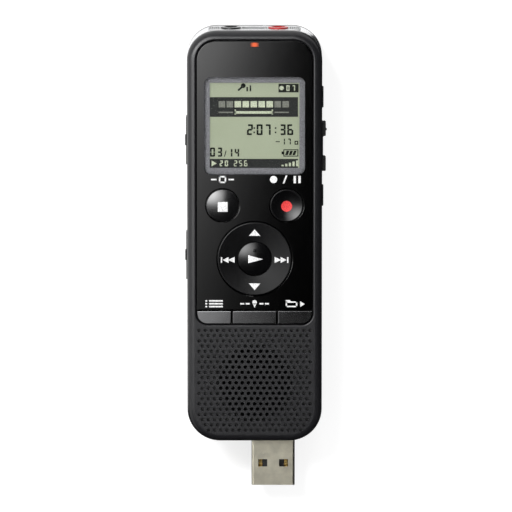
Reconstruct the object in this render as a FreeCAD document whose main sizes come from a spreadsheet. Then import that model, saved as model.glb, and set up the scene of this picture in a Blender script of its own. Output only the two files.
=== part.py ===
"""Pocket voice recorder with a slide-out computer plug, as a parametric FreeCAD document.

The recorder lies on its back, the way it is left on a desk.  +Z points out of the display, +Y runs
along the case towards the jacks, and the origin is in the middle of the whole footprint, with the
plug out, on the surface that the back rests on.  Places along the case are measured from its foot,
the end that the plug slides out of.  Every size is a cell of the spreadsheet below, in millimetres.
"""
import FreeCAD, Part
import math
import os
import re

import Sketcher

V = FreeCAD.Vector
doc = FreeCAD.newDocument("recorder")

# ---------------------------------------------------------------- driving dimensions
SIZES = [
    # case
    ("case_length", 114.1, "foot end to jack end"),
    ("case_width", 37.1, "across the two housings, side controls left out"),
    ("face_level", 18.5, "front rim and front panel"),
    ("seam_level", 7.5, "parting line of the two housings"),
    ("seam_gap", 0.12, "visible gap at the parting line"),
    ("beyond", 1.0, "how far a cutting shape runs past what it cuts"),
    ("wall_pass", 0.3, "how far a cut through a side wall runs into the case"),
    ("side_wall", 1.6, "wall of both housings"),
    ("back_wall", 2.4, "back of the rear housing"),
    ("front_wall", 2.4, "front of the front housing"),
    ("top_corner", 8.2, "corner radius at the jack end"),
    ("foot_corner", 9.0, "corner radius at the foot"),
    ("front_round", 2.0, "rounding of the front edge"),
    ("rim_round", 0.45, "rounding of the rim above the panel recess"),
    ("back_round", 3.5, "rounding of the back edge"),
    # bright band at the jack end
    ("band_low", 5.5, "band's lower edge"),
    ("band_high", 15.6, "band's upper edge"),
    ("band_wall", 2.0, "band's thickness"),
    ("band_drop", 8.6, "how far the band runs down the sides"),
    ("plate_half", 12.5, "half the jack plate's width"),
    ("plate_thick", 1.0, "jack plate"),
    ("plate_margin", 1.3, "band left beside the jack plate"),
    ("plate_gap", 0.12, "gap around the jack plate"),
    ("plate_groove", 0.35, "depth of the groove between the jacks"),
    # front panel and window
    ("panel_inset", 2.5, "rim between the case outline and the panel recess"),
    ("panel_thick", 1.2, "front panel"),
    ("panel_gap", 0.2, "groove around the panel and between keys"),
    ("edge_round", 0.2, "rounded edges of the panel and the keys"),
    ("panel_foot", 36.9, "panel's lower edge above the foot"),
    ("recess_foot", 32.8, "lower edge of the recess, below the key row"),
    ("recess_top_corner", 5.5, "upper corners of the recess"),
    ("recess_foot_corner", 3.1, "lower corners of the recess"),
    ("window_width", 27.6, "display window"),
    ("window_height", 26.9, "display window"),
    ("window_drop", 26.1, "window's middle below the jack end"),
    ("window_corner", 1.9, "corners of the window"),
    ("window_gap", 0.06, "glue line around the window"),
    ("screen_width", 24.6, "part of the display that shows"),
    ("screen_height", 23.6, "part of the display that shows"),
    ("glass_thick", 1.5, "display cell"),
    ("glass_border", 0.6, "display cell under the frame"),
    ("frame_lip", 0.3, "frame above the display cell"),
    ("frame_flange", 0.8, "flange that holds the frame under the front wall"),
    # circuit board
    ("board_level", 13.4, "rear face of the main board"),
    ("board_thick", 0.8, "main board"),
    ("board_gap", 0.8, "room around the main board"),
    ("board_foot", 31.4, "lower end of the main board"),
    ("chip_thick", 1.0, "processor and memory"),
    ("chip_x", 5.5, "processor and memory, each to its side of the middle"),
    ("processor_half", 3.5, "half the processor's side"),
    ("processor_y", 37.5, "processor above the foot"),
    ("memory_half", 4.0, "half the memory's width"),
    ("memory_length", 10.5, "memory"),
    ("memory_y", 38.75, "memory above the foot"),
    # keys on the front
    ("key_gap", 0.2, "gap around a key"),
    ("key_rest", 0.35, "room between a key and the membrane"),
    ("key_slack", 0.1, "room between a key's flange and the front wall"),
    ("key_flange", 0.8, "how far a key's flange reaches under the wall"),
    ("flange_thick", 0.5, "key flange"),
    ("membrane_thick", 0.35, "silicone membrane"),
    ("membrane_play", 0.05, "room between the domes and the membrane"),
    ("membrane_edge", 0.5, "membrane beyond the keys"),
    ("membrane_half", 12.9, "half the membrane's width"),
    ("dome_height", 0.4, "dome switch"),
    ("dome_radius", 1.7, "dome switch"),
    ("round_key", 4.45, "radius of the stop and record keys"),
    ("round_key_x", 8.8, "stop and record keys off the middle"),
    ("round_key_y", 66.0, "stop and record keys above the foot"),
    ("stop_crown", 0.8, "top of the stop key above the panel"),
    ("stop_ball", 17.0, "radius of the stop key's dome"),
    ("record_rim", 0.45, "rim of the record key above the panel"),
    ("record_dish", 14.0, "radius of the record key's hollow"),
    ("record_floor", 0.2, "lowest point of the hollow below the panel"),
    ("ring_y", 51.2, "navigation ring above the foot"),
    ("ring_outer", 10.15, "navigation ring"),
    ("ring_bore", 4.85, "hole of the navigation ring"),
    ("ring_rise", 0.45, "outer edge of the ring above the panel"),
    ("ring_slope", 0.3, "fall of the ring from its outer edge to its hole"),
    ("ring_skirt", 0.65, "skirt around the underside of the ring"),
    ("ring_web", 2.2, "ring between its face and its underside"),
    ("ring_flange", 0.4, "thickness of the ring's flange"),
    ("ring_land", 0.3, "level rim around the ring's face"),
    ("ring_play", 0.05, "ring's foot above the keys' feet"),
    ("plate_ring_in", 6.2, "rocker plate, inner radius"),
    ("plate_ring_out", 9.1, "rocker plate, outer radius"),
    ("plate_ring_thick", 0.5, "rocker plate"),
    ("pusher_radius", 0.8, "knobs under the rocker plate"),
    ("pusher_drop", 0.15, "knobs under the rocker plate"),
    ("play_key", 4.6, "radius of the play key"),
    ("play_crown", 0.75, "top of the play key above the panel"),
    ("play_ball", 15.0, "radius of the play key's dome"),
    ("row_gap", 0.24, "groove above and below the key row"),
    ("row_split", 6.25, "middle of the gap beside the middle key of the row"),
    ("row_stem", 1.2, "half the stems' width in the key row"),
    ("row_stem_long", 2.9, "half the stems' length along the key row"),
    ("row_rise", 0.25, "row keys above the panel"),
    # grille and speaker
    ("hole_pitch", 1.7, "hole to hole in a row of the grille"),
    ("hole_radius", 0.5, "grille hole"),
    ("dimple_radius", 0.46, "blind dimple beside the open holes"),
    ("dimple_depth", 0.8, "blind dimple"),
    ("grille_top", 31.25, "first row of holes above the foot"),
    ("grille_margin", 2.42, "holes stay this far from the case outline"),
    ("grille_wall", 1.2, "front wall over the speaker"),
    ("open_radius", 10.9, "holes inside this radius go through"),
    ("speaker_y", 16.5, "speaker above the foot"),
    ("speaker_radius", 11.2, "speaker basket"),
    ("speaker_deep", 3.5, "speaker basket"),
    ("speaker_lip", 1.3, "rim of the basket"),
    ("gasket_thick", 0.5, "foam ring in front of the speaker"),
    ("magnet_radius", 5.2, "speaker magnet"),
    ("magnet_thick", 1.7, "speaker magnet behind the basket"),
    ("basket_floor", 0.7, "back of the basket"),
    ("cone_foot", 1.0, "cone above the basket's back"),
    ("cone_drop", 0.6, "cone's rim below the basket's rim"),
    ("cone_throat", 2.6, "narrow end of the cone"),
    ("cone_thick", 0.35, "cone"),
    ("cone_play", 0.1, "room around the cone"),
    ("cap_radius", 3.0, "cap of the cone"),
    ("cap_thick", 0.5, "cap of the cone"),
    ("rib_gap", 0.2, "room between the speaker and its ring rib"),
    ("rib_thick", 1.0, "ribs inside the housings"),
    # side controls
    ("side_level", 11.6, "middle of the side controls"),
    ("bezel_length", 13.4, "raised strip around a slide switch"),
    ("bezel_tall", 4.4, "raised strip around a slide switch"),
    ("bezel_rise", 0.3, "raised strip around a slide switch"),
    ("hold_y", 83.3, "hold switch above the foot"),
    ("noise_y", 51.3, "noise switch above the foot"),
    ("slider_length", 2.8, "knob of a slide switch"),
    ("slider_tall", 2.2, "knob of a slide switch"),
    ("slider_rise", 0.6, "knob beyond the case side"),
    ("slider_travel", 2.0, "knob to each side"),
    ("slider_gap", 0.15, "room around the knob"),
    ("button_length", 5.8, "side buttons"),
    ("button_tall", 2.6, "side buttons"),
    ("button_rise", 0.4, "side buttons beyond the case side"),
    ("repeat_y", 95.2, "upper side button above the foot"),
    ("scene_y", 67.9, "lower side button above the foot"),
    ("rocker_length", 13.6, "volume rocker"),
    ("rocker_tall", 3.0, "volume rocker"),
    ("rocker_rise", 1.05, "humps of the rocker beyond the case side"),
    ("rocker_valley", 0.75, "depth of the waist between the humps"),
    ("rocker_rib", 0.6, "radius of the rib that the rocker tips on"),
    ("rib_play", 0.02, "room behind the rib"),
    ("rest_half", 1.0, "half the width of the rest behind the rib"),
    ("rocker_waist", 2.9, "half the length of the waist"),
    ("rocker_y", 81.6, "volume rocker above the foot"),
    ("nub_radius", 0.45, "raised dot on a key that is found by touch"),
    ("nub_sunk", 0.15, "dot's middle below the key's surface"),
    ("nub_inset", 2.2, "dot off the end of the volume rocker"),
    ("side_flange", 0.6, "flange of a side control behind the wall"),
    ("side_lap", 0.5, "flange of a side control past its opening"),
    ("side_slack", 0.1, "room between a side control's flange and the wall"),
    ("switch_back", 12.6, "inner side of the side switches off the middle"),
    ("switch_drop", 1.6, "side switches below the middle of their knobs"),
    ("slide_switch", 3.3, "half a slide switch's length"),
    ("push_switch", 1.9, "half a push switch's length"),
    ("volume_switch", 1.4, "half a volume switch's length"),
    ("volume_switch_y", 5.0, "volume switches off the rocker's middle"),
    # battery bay
    ("cell_radius", 5.25, "AAA cell"),
    ("cell_length", 44.5, "AAA cell with its nub"),
    ("nub_length", 0.8, "nub of a cell"),
    ("cell_nub", 1.9, "nub radius of a cell"),
    ("cell_gap", 0.2, "half the room between the two cells"),
    ("cell_play", 0.05, "room at the end of a cell"),
    ("cell_level", 7.2, "axis of the cells"),
    ("bay_foot", 47.45, "inner lower end of the bay"),
    ("bay_wall", 1.0, "end and side walls of the battery tray"),
    ("bay_roof", 0.8, "roof of the battery tray"),
    ("spring_length", 3.9, "contact spring"),
    ("spring_radius", 2.6, "contact spring"),
    ("spring_wire", 0.28, "wire radius of the contact spring"),
    ("spring_pitch", 1.1, "contact spring"),
    ("leaf_thick", 0.3, "contact plates"),
    ("leaf_half", 4.2, "half the width of a contact plate"),
    ("leaf_dent", 0.35, "pressed dome of a contact plate"),
    ("leaf_dome", 1.5, "radius of the pressed dome"),
    ("leaf_gap", 0.6, "contact plates clear of the back and the roof"),
    # battery door
    ("door_thick", 1.6, "battery door"),
    ("door_half", 12.3, "half the door's width"),
    ("door_gap", 0.1, "gap around the door"),
    ("door_length", 53.6, "hinge axis to latch end"),
    ("hinge_y", 45.8, "hinge axis above the foot"),
    ("hinge_pin", 0.5, "hinge pin radius"),
    ("hinge_play", 0.03, "running clearance of the hinge pin"),
    ("hinge_bite", 1.6, "pin's grip in the housing at each end"),
    ("latch_half", 3.0, "half the latch's width"),
    ("latch_thick", 0.7, "latch tongue"),
    ("latch_nose", 0.35, "ledge that is left behind the latch"),
    ("latch_slack", 0.35, "latch tongue before the ledge"),
    ("latch_room", 0.4, "room beside the latch"),
    ("latch_rise", 0.8, "latch above the inside of the back"),
    ("latch_lift", 0.1, "latch's nose above the inside of the back"),
    ("latch_bite", 0.25, "latch's nose past its tongue"),
    ("grip_y", 3.0, "first grip groove before the door's end"),
    ("grip_half", 5.5, "half the length of the first grip groove"),
    ("grip_step", 0.9, "each next groove is shorter by this at both ends"),
    ("grip_pitch", 1.3, "groove to groove"),
    ("grip_width", 0.6, "grip groove"),
    ("grip_deep", 0.4, "grip groove"),
    ("ledge_width", 1.5, "ledge that the door closes on"),
    # plug that slides out
    ("plug_x", 5.15, "plug off the middle"),
    ("plug_level", 7.0, "plug's middle"),
    ("plug_reach", 14.0, "plug beyond the foot when it is out"),
    ("plug_length", 20.0, "plug shell"),
    ("plug_width", 12.0, "plug shell, standard type A"),
    ("plug_height", 4.5, "plug shell, standard type A"),
    ("plug_skin", 0.3, "sheet of the plug shell"),
    ("plug_corner", 0.6, "outer corners of the plug shell"),
    ("plug_window", 2.5, "windows of the plug shell"),
    ("plug_window_long", 2.1, "windows of the plug shell, along the plug"),
    ("plug_window_x", 2.9, "windows off the plug's middle"),
    ("plug_window_y", 5.2, "windows behind the plug's tip"),
    ("plug_dot_y", 8.9, "pressed dots behind the plug's tip"),
    ("plug_dot", 0.55, "pressed dots of the plug shell"),
    ("plug_play", 0.15, "room around the plug where it leaves the case"),
    ("tongue_thick", 1.9, "insulator in the plug"),
    ("tongue_setback", 0.5, "insulator behind the plug's tip"),
    ("tongue_play", 0.02, "room beside the insulator"),
    ("contact_width", 1.0, "gold contacts of the plug"),
    ("contact_thick", 0.12, "gold contacts of the plug"),
    ("contact_outer", 3.5, "outer contacts off the plug's middle"),
    ("contact_inner", 1.0, "inner contacts off the plug's middle"),
    ("contact_start", 1.2, "outer contacts behind the plug's tip"),
    ("contact_step", 1.0, "inner contacts behind the outer ones"),
    ("carriage_half", 6.6, "half the carriage's width"),
    ("carriage_low", 3.2, "rear face of the carriage"),
    ("carriage_high", 10.2, "front face of the carriage"),
    ("carriage_length", 12.6, "carriage"),
    ("carriage_stop", 0.6, "room between the carriage and the foot wall"),
    ("carriage_play", 0.12, "room beside the carriage"),
    ("carriage_end", 0.6, "end wall of the carriage"),
    ("plug_board_half", 5.1, "half the width of the plug's circuit board"),
    ("plug_board_thick", 0.8, "plug's circuit board"),
    ("plug_board_play", 0.1, "room around the plug's circuit board"),
    ("bracket_thick", 0.3, "sheet bracket over the carriage"),
    ("bracket_end", 0.8, "bracket beyond the carriage's far end"),
    ("lever_y", 9.5, "slide lever above the foot when the plug is out"),
    ("lever_half", 4.0, "half the lever's width"),
    ("lever_length", 6.0, "slide lever"),
    ("lever_sunk", 0.15, "lever below the back face"),
    ("lever_well", 1.4, "depth of the track in the back"),
    ("lever_play", 0.3, "room around the lever"),
    ("lever_stem", 1.5, "half the width of the lever's stem"),
    ("track_corner", 0.8, "corners of the lever's track"),
    ("lever_pitch", 1.0, "groove to groove on the lever"),
    ("lever_groove", 0.6, "grooves of the lever"),
    ("lever_groove_deep", 0.35, "grooves of the lever"),
    # jacks and microphones
    ("jack_x", 6.5, "jacks off the middle"),
    ("jack_level", 10.5, "axis of the jacks"),
    ("jack_bore", 1.8, "bore radius for a 3.5 mm plug"),
    ("jack_half", 2.7, "half the jack body's width"),
    ("jack_length", 14.0, "jack end to the back of the jack body"),
    ("jack_nose", 2.75, "radius of the jack's nose and ring"),
    ("jack_ring_rise", 0.35, "ring beyond the jack end"),
    ("jack_ring_deep", 1.2, "ring behind the jack end"),
    ("jack_play", 0.1, "room around the jack nose"),
    ("jack_floor", 1.0, "closed end of a jack"),
    ("groove_margin", 0.3, "jack plate's groove off the jacks"),
    ("mic_x", 11.0, "microphones off the middle"),
    ("mic_radius", 1.4, "microphone capsule"),
    ("mic_deep", 2.0, "microphone capsule"),
    ("boot_thick", 0.35, "rubber boot of a microphone"),
    ("boot_play", 0.05, "room around a boot in the band"),
    ("boot_lip", 0.1, "band left over the edge of a microphone"),
    ("mic_hole", 0.22, "sound holes of the jack plate"),
    ("mic_pitch", 0.56, "sound hole to sound hole"),
    # indicator
    ("lamp_drop", 3.7, "indicator below the jack end"),
    ("lamp_half", 1.15, "half the indicator's width"),
    ("lamp_tall", 1.1, "indicator"),
    ("lamp_gap", 0.08, "room around the indicator"),
    ("lamp_flange", 0.5, "flange of the indicator's light pipe"),
    ("led_half", 0.8, "half the lamp's width"),
    ("led_deep", 0.45, "half the lamp's depth"),
    ("led_tall", 0.8, "lamp"),
    ("led_gap", 0.1, "room between the lamp and its light pipe"),
    # fasteners
    ("foot_screw_x", 14.8, "case screws at the foot, off the middle"),
    ("foot_screw_y", 10.2, "case screws at the foot"),
    ("top_screw_x", 13.9, "case screws at the jack end, off the middle"),
    ("top_screw_drop", 8.9, "case screws at the jack end"),
    ("boss_radius", 2.1, "screw bosses"),
    ("boss_play", 0.3, "room between a boss and the main board"),
    ("screw_radius", 0.95, "case screws"),
    ("screw_length", 10.0, "case screws under the head"),
    ("screw_head", 1.5, "head radius of the case screws"),
    ("screw_head_thick", 0.9, "heads of the case screws"),
    ("screw_well", 1.9, "depth of the wells for the case screws"),
    ("screw_play", 0.15, "room around a screw and its head"),
    ("thread_play", 0.02, "pilot hole around a thread"),
    ("pilot_end", 0.5, "pilot hole past the screw's point"),
    ("board_screw_x", 14.4, "board screws off the middle"),
    ("board_screw_y", 42.0, "board screws above the foot"),
    ("board_screw_radius", 0.7, "board screws"),
    ("board_screw_head", 1.2, "head radius of the board screws"),
    ("board_screw_head_thick", 0.6, "heads of the board screws"),
    ("board_screw_end", 0.2, "room past the point of a board screw"),
]

# Places that several pieces share, spelled out in sizes.
DERIVED = {
    "foot": "(plug_reach - case_length) / 2",
    "top": "(plug_reach + case_length) / 2",
    "half": "case_width / 2",
    "base_level": "face_level - front_wall",  # inside of the front wall
    "seat_level": "face_level - panel_thick",  # floor of the panel recess
    "row_low": "foot + recess_foot + row_gap",
    "row_high": "foot + panel_foot - row_gap",
    "row_y": "(row_low + row_high) / 2",
    "board_top": "board_level + board_thick",
    "membrane_low": "board_top + dome_height + membrane_play",
    "membrane_top": "membrane_low + membrane_thick",
    "key_foot": "membrane_top + key_rest",
    "plug_tip": "foot - plug_reach",
    "plug_travel": "plug_reach + lever_sunk",
    "speaker_back": "seat_front - gasket_thick - speaker_deep",
    "seat_front": "face_level - grille_wall",
    "cell_x": "cell_radius + cell_gap",
    "bay_length": "2 * leaf_thick + spring_length + cell_length + leaf_dent + cell_play",
    "bay_half": "2 * cell_radius + 2 * cell_gap",
    "tray_foot": "foot + bay_foot - bay_wall",
    "tray_top": "foot + bay_foot + bay_length + bay_wall",
    "hinge_line": "foot + hinge_y",
    "door_end": "hinge_line + door_length",
    "carriage_foot": "foot + side_wall + carriage_stop",
    "switch_x": "half - side_wall - side_flange - side_slack - key_rest",
}
DERIVED |= {
    "glass_top": "seat_level - frame_lip",
    "glass_low": "glass_top - glass_thick",
    "window_y": "top - window_drop",
    "bay_low": "foot + bay_foot",
    "bay_high": "bay_low + bay_length",
    "roof_low": "cell_level + cell_radius + cell_gap / 2",
    "flange_top": "base_level - key_slack",
    "inner": "half - side_wall",  # inside of the side walls
    "rocker_back": "half - side_wall - key_rest - side_flange",  # where the rocker tips
    "plug_end": "plug_tip + plug_length",
    "carriage_top": "carriage_foot + carriage_length",
    "rail_end": "carriage_foot + carriage_length + plug_travel + bracket_end",
    "latch_y": "door_end - latch_nose - latch_slack - latch_thick",
}
NAMES = {alias for alias, _, _ in SIZES}

sheet = doc.addObject("Spreadsheet::Sheet", "sizes")
for row, (alias, size, meaning) in enumerate(SIZES, start=1):
    sheet.set(f"A{row}", meaning)
    sheet.set(f"B{row}", str(size))
    sheet.setAlias(f"B{row}", alias)
doc.recompute()


# ---------------------------------------------------------------- formulas
def formula(text):
    """A size formula for FreeCAD: derived places spelled out, sizes read from the sheet."""
    text = str(text)
    word = re.compile(r"\b[a-z]\w*\b")
    while any(name in DERIVED for name in word.findall(text)):
        text = word.sub(lambda found: f"({DERIVED[found[0]]})" if found[0] in DERIVED else found[0], text)
    return word.sub(lambda found: f"sizes.{found[0]}" if found[0] in NAMES else found[0], text)


def mm(text):
    """What a size formula comes to."""
    return float(sheet.evalExpression(formula(text)))


def bind(thing, **formulas):
    """Ties properties of an object to size formulas."""
    for name, text in formulas.items():
        thing.setExpression(name, formula(text))


def place(thing, x, y, z):
    """Ties an object's place to size formulas."""
    for axis, text in zip("xyz", (x, y, z)):
        thing.setExpression(f"Placement.Base.{axis}", formula(text))


# ---------------------------------------------------------------- primitives and booleans
TURNS = {
    "X": FreeCAD.Rotation(V(0, 1, 0), 90),
    "Y": FreeCAD.Rotation(V(1, 0, 0), -90),
    "Z": FreeCAD.Rotation(),
}


def block(name, x, y, z):
    """A box between a pair of limits along each axis."""
    box = doc.addObject("Part::Box", name)
    bind(box, Length=f"({x[1]}) - ({x[0]})", Width=f"({y[1]}) - ({y[0]})", Height=f"({z[1]}) - ({z[0]})")
    place(box, x[0], y[0], z[0])
    return box


def rod(name, axis, start, radius, length):
    """A cylinder that starts at a point and runs along +axis."""
    cylinder = doc.addObject("Part::Cylinder", name)
    cylinder.Placement = FreeCAD.Placement(V(), TURNS[axis])
    bind(cylinder, Radius=radius, Height=length)
    place(cylinder, *start)
    return cylinder


def frustum(name, start, radius_low, radius_high, height):
    """A cone piece that stands on +Z."""
    cone = doc.addObject("Part::Cone", name)
    bind(cone, Radius1=radius_low, Radius2=radius_high, Height=height)
    place(cone, *start)
    return cone


def ball(name, centre, radius):
    sphere = doc.addObject("Part::Sphere", name)
    bind(sphere, Radius=radius)
    place(sphere, *centre)
    return sphere


def cut(name, base, *tools):
    made = doc.addObject("Part::Cut", name)
    made.Base = base
    made.Tool = tools[0] if len(tools) == 1 else join(name + "_tools", *tools)
    return made


def join(name, *shapes):
    made = doc.addObject("Part::MultiFuse", name)
    made.Shapes = list(shapes)
    return made


def shared(name, first, second):
    """What two shapes have in common."""
    made = doc.addObject("Part::MultiCommon", name)
    made.Shapes = [first, second]
    return made


def group(name, solids):
    """Separate solids that share one piece's name."""
    made = doc.addObject("Part::Compound", name)
    made.Links = list(solids)
    return made


def soften(name, base, radius, picks, kind="Fillet"):
    """Fillets or chamfers the edges of a shape for which picks(edge) holds."""
    doc.recompute()
    made = doc.addObject("Part::" + kind, name)
    made.Base = base
    size = mm(radius)
    made.Edges = [(n, size, size) for n, edge in enumerate(base.Shape.Edges, 1) if picks(edge)]
    return made


def runs_along(edge, axis):
    """Whether an edge is straight and parallel to an axis."""
    if not isinstance(edge.Curve, (Part.Line, Part.LineSegment)):
        return False
    span = edge.Vertexes[-1].Point - edge.Vertexes[0].Point
    return abs(abs(getattr(span, axis)) - span.Length) < 1e-6


def lies_at(edge, level):
    """Whether an edge lies in a level plane."""
    box = edge.BoundBox
    return abs(box.ZMin - level) < 1e-4 and abs(box.ZMax - level) < 1e-4


# ---------------------------------------------------------------- bodies and sketches
def new_body(name):
    return doc.addObject("PartDesign::Body", name)


def sketch(body, name, plane, level="0"):
    """An empty sketch on a body's own origin plane, moved along the plane's normal."""
    made = body.newObject("Sketcher::SketchObject", f"{body.Name}_{name}")
    support = next(f for f in body.Origin.OriginFeatures if f.Role == plane)
    made.AttachmentSupport = (support, [""])
    made.MapMode = "FlatFace"
    made.setExpression("AttachmentOffset.Base.z", formula(level))
    return made


def hold(profile, kind, *where, at):
    """A dimension of a sketch that follows a size formula."""
    index = profile.addConstraint(Sketcher.Constraint(kind, *where, mm(at)))
    profile.renameConstraint(index, f"size_{index}")
    profile.setExpression(f"Constraints.size_{index}", formula(at))


def draw_box(profile, x, y, low=None, high=None):
    """A rectangle between formula limits, with the radii low and high at its lower and upper corners."""
    x0, x1, y0, y1 = mm(x[0]), mm(x[1]), mm(y[0]), mm(y[1])
    a, b = (mm(low) if low else 0.0), (mm(high) if high else 0.0)
    sides = [
        (V(x0 + a, y0, 0), V(x1 - a, y0, 0)),
        (V(x1, y0 + a, 0), V(x1, y1 - b, 0)),
        (V(x1 - b, y1, 0), V(x0 + b, y1, 0)),
        (V(x0, y1 - b, 0), V(x0, y0 + a, 0)),
    ]
    corners = [
        (x1 - a, y0 + a, a, 270), (x1 - b, y1 - b, b, 0), (x0 + b, y1 - b, b, 90), (x0 + a, y0 + a, a, 180),
    ]
    chain, arcs = [], {}
    lines = []
    for number, (side, (cx, cy, radius, begin)) in enumerate(zip(sides, corners)):
        lines.append(profile.addGeometry(Part.LineSegment(*side), False))
        chain.append(lines[-1])
        if radius:
            circle = Part.Circle(V(cx, cy, 0), V(0, 0, 1), radius)
            arc = Part.ArcOfCircle(circle, math.radians(begin), math.radians(begin + 90))
            arcs[number] = profile.addGeometry(arc, False)
            chain.append(arcs[number])
    for here, after in zip(chain, chain[1:] + chain[:1]):
        kind = "Coincident" if here in lines and after in lines else "Tangent"
        profile.addConstraint(Sketcher.Constraint(kind, here, 2, after, 1))
    for line, kind in zip(lines, ("Horizontal", "Vertical", "Horizontal", "Vertical")):
        profile.addConstraint(Sketcher.Constraint(kind, line))
    for first, second, text in ((0, 3, low), (1, 2, high)):
        if text:
            profile.addConstraint(Sketcher.Constraint("Equal", arcs[first], arcs[second]))
            hold(profile, "Radius", arcs[first], at=text)
    hold(profile, "DistanceY", -1, 1, lines[0], 1, at=y[0])
    hold(profile, "DistanceY", -1, 1, lines[2], 1, at=y[1])
    hold(profile, "DistanceX", -1, 1, lines[1], 1, at=x[1])
    hold(profile, "DistanceX", -1, 1, lines[3], 1, at=x[0])


def draw_circle(profile, x, y, radius):
    circle = profile.addGeometry(Part.Circle(V(mm(x), mm(y), 0), V(0, 0, 1), mm(radius)), False)
    hold(profile, "Radius", circle, at=radius)
    hold(profile, "DistanceX", -1, 1, circle, 3, at=x)
    hold(profile, "DistanceY", -1, 1, circle, 3, at=y)


def draw_case_outline(profile, inset="0"):
    """The outline that both housings share, or a line a given distance inside it."""
    draw_box(
        profile,
        (f"-half + {inset}", f"half - {inset}"),
        (f"foot + {inset}", f"top - {inset}"),
        low=f"foot_corner - {inset}",
        high=f"top_corner - {inset}",
    )


def pad(body, profile, length, back=False):
    feature = body.newObject("PartDesign::Pad", profile.Name + "_pad")
    feature.Profile = profile
    bind(feature, Length=length)
    feature.Reversed = back
    return feature


def pocket(body, profile, length, back=False):
    """Cuts against the sketch's normal, or along it where back is set."""
    feature = body.newObject("PartDesign::Pocket", profile.Name + "_pocket")
    feature.Profile = profile
    bind(feature, Length=length)
    feature.Reversed = back
    return feature


def round_edges(body, radius, picks, kind="Fillet"):
    """Fillets or chamfers the edges of a body's shape so far for which picks(edge) holds."""
    doc.recompute()
    tip = body.Tip
    names = [f"Edge{n}" for n, edge in enumerate(tip.Shape.Edges, 1) if picks(edge)]
    feature = body.newObject("PartDesign::" + kind, tip.Name + "_" + kind.lower())
    feature.Base = (tip, names)
    bind(feature, **{"Radius" if kind == "Fillet" else "Size": radius})
    return feature


PIECES = {}


def piece(name, thing):
    """Names a finished sub-part."""
    thing.Label = name
    PIECES[name] = thing
    return thing


# Screws of the case: side, distance off the middle, place along the case.
CASE_SCREWS = [
    (f"{sign}{x}", y)
    for x, y in (("foot_screw_x", "foot + foot_screw_y"), ("top_screw_x", "top - top_screw_drop"))
    for sign in ("-", "")
]
BOARD_SCREWS = [(f"{sign}board_screw_x", "foot + board_screw_y") for sign in ("-", "")]
ROW_KEYS = {
    "menu_key": ("-half + panel_inset + panel_gap", "-row_split - panel_gap"),
    "mark_key": ("-row_split + panel_gap", "row_split - panel_gap"),
    "folder_key": ("row_split + panel_gap", "half - panel_inset - panel_gap"),
}
ROUND_KEYS = {"stop_key": "-round_key_x", "record_key": "round_key_x"}


# ---------------------------------------------------------------- front housing
def grille_points():
    """Centres of the grille's staggered rows, each with whether it is over the speaker."""
    pitch, margin = mm("hole_pitch"), mm("grille_margin")
    rise = pitch * math.sin(math.radians(60))
    foot, half, corner = mm("foot"), mm("half"), mm("foot_corner")
    y, odd = foot + mm("grille_top"), True
    while y >= foot + margin:
        count = int((half - margin - (0 if odd else pitch / 2)) / pitch)
        for k in range(-count, count + 1) if odd else range(-count - 1, count + 1):
            x = k * pitch if odd else (k + 0.5) * pitch
            dx, dy = abs(x) - (half - corner), foot + corner - y
            if dx <= 0 or dy <= 0 or math.hypot(dx, dy) <= corner - margin:
                yield x, y, math.hypot(x, y - foot - mm("speaker_y")) <= mm("open_radius")
        y -= rise
        odd = not odd


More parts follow.
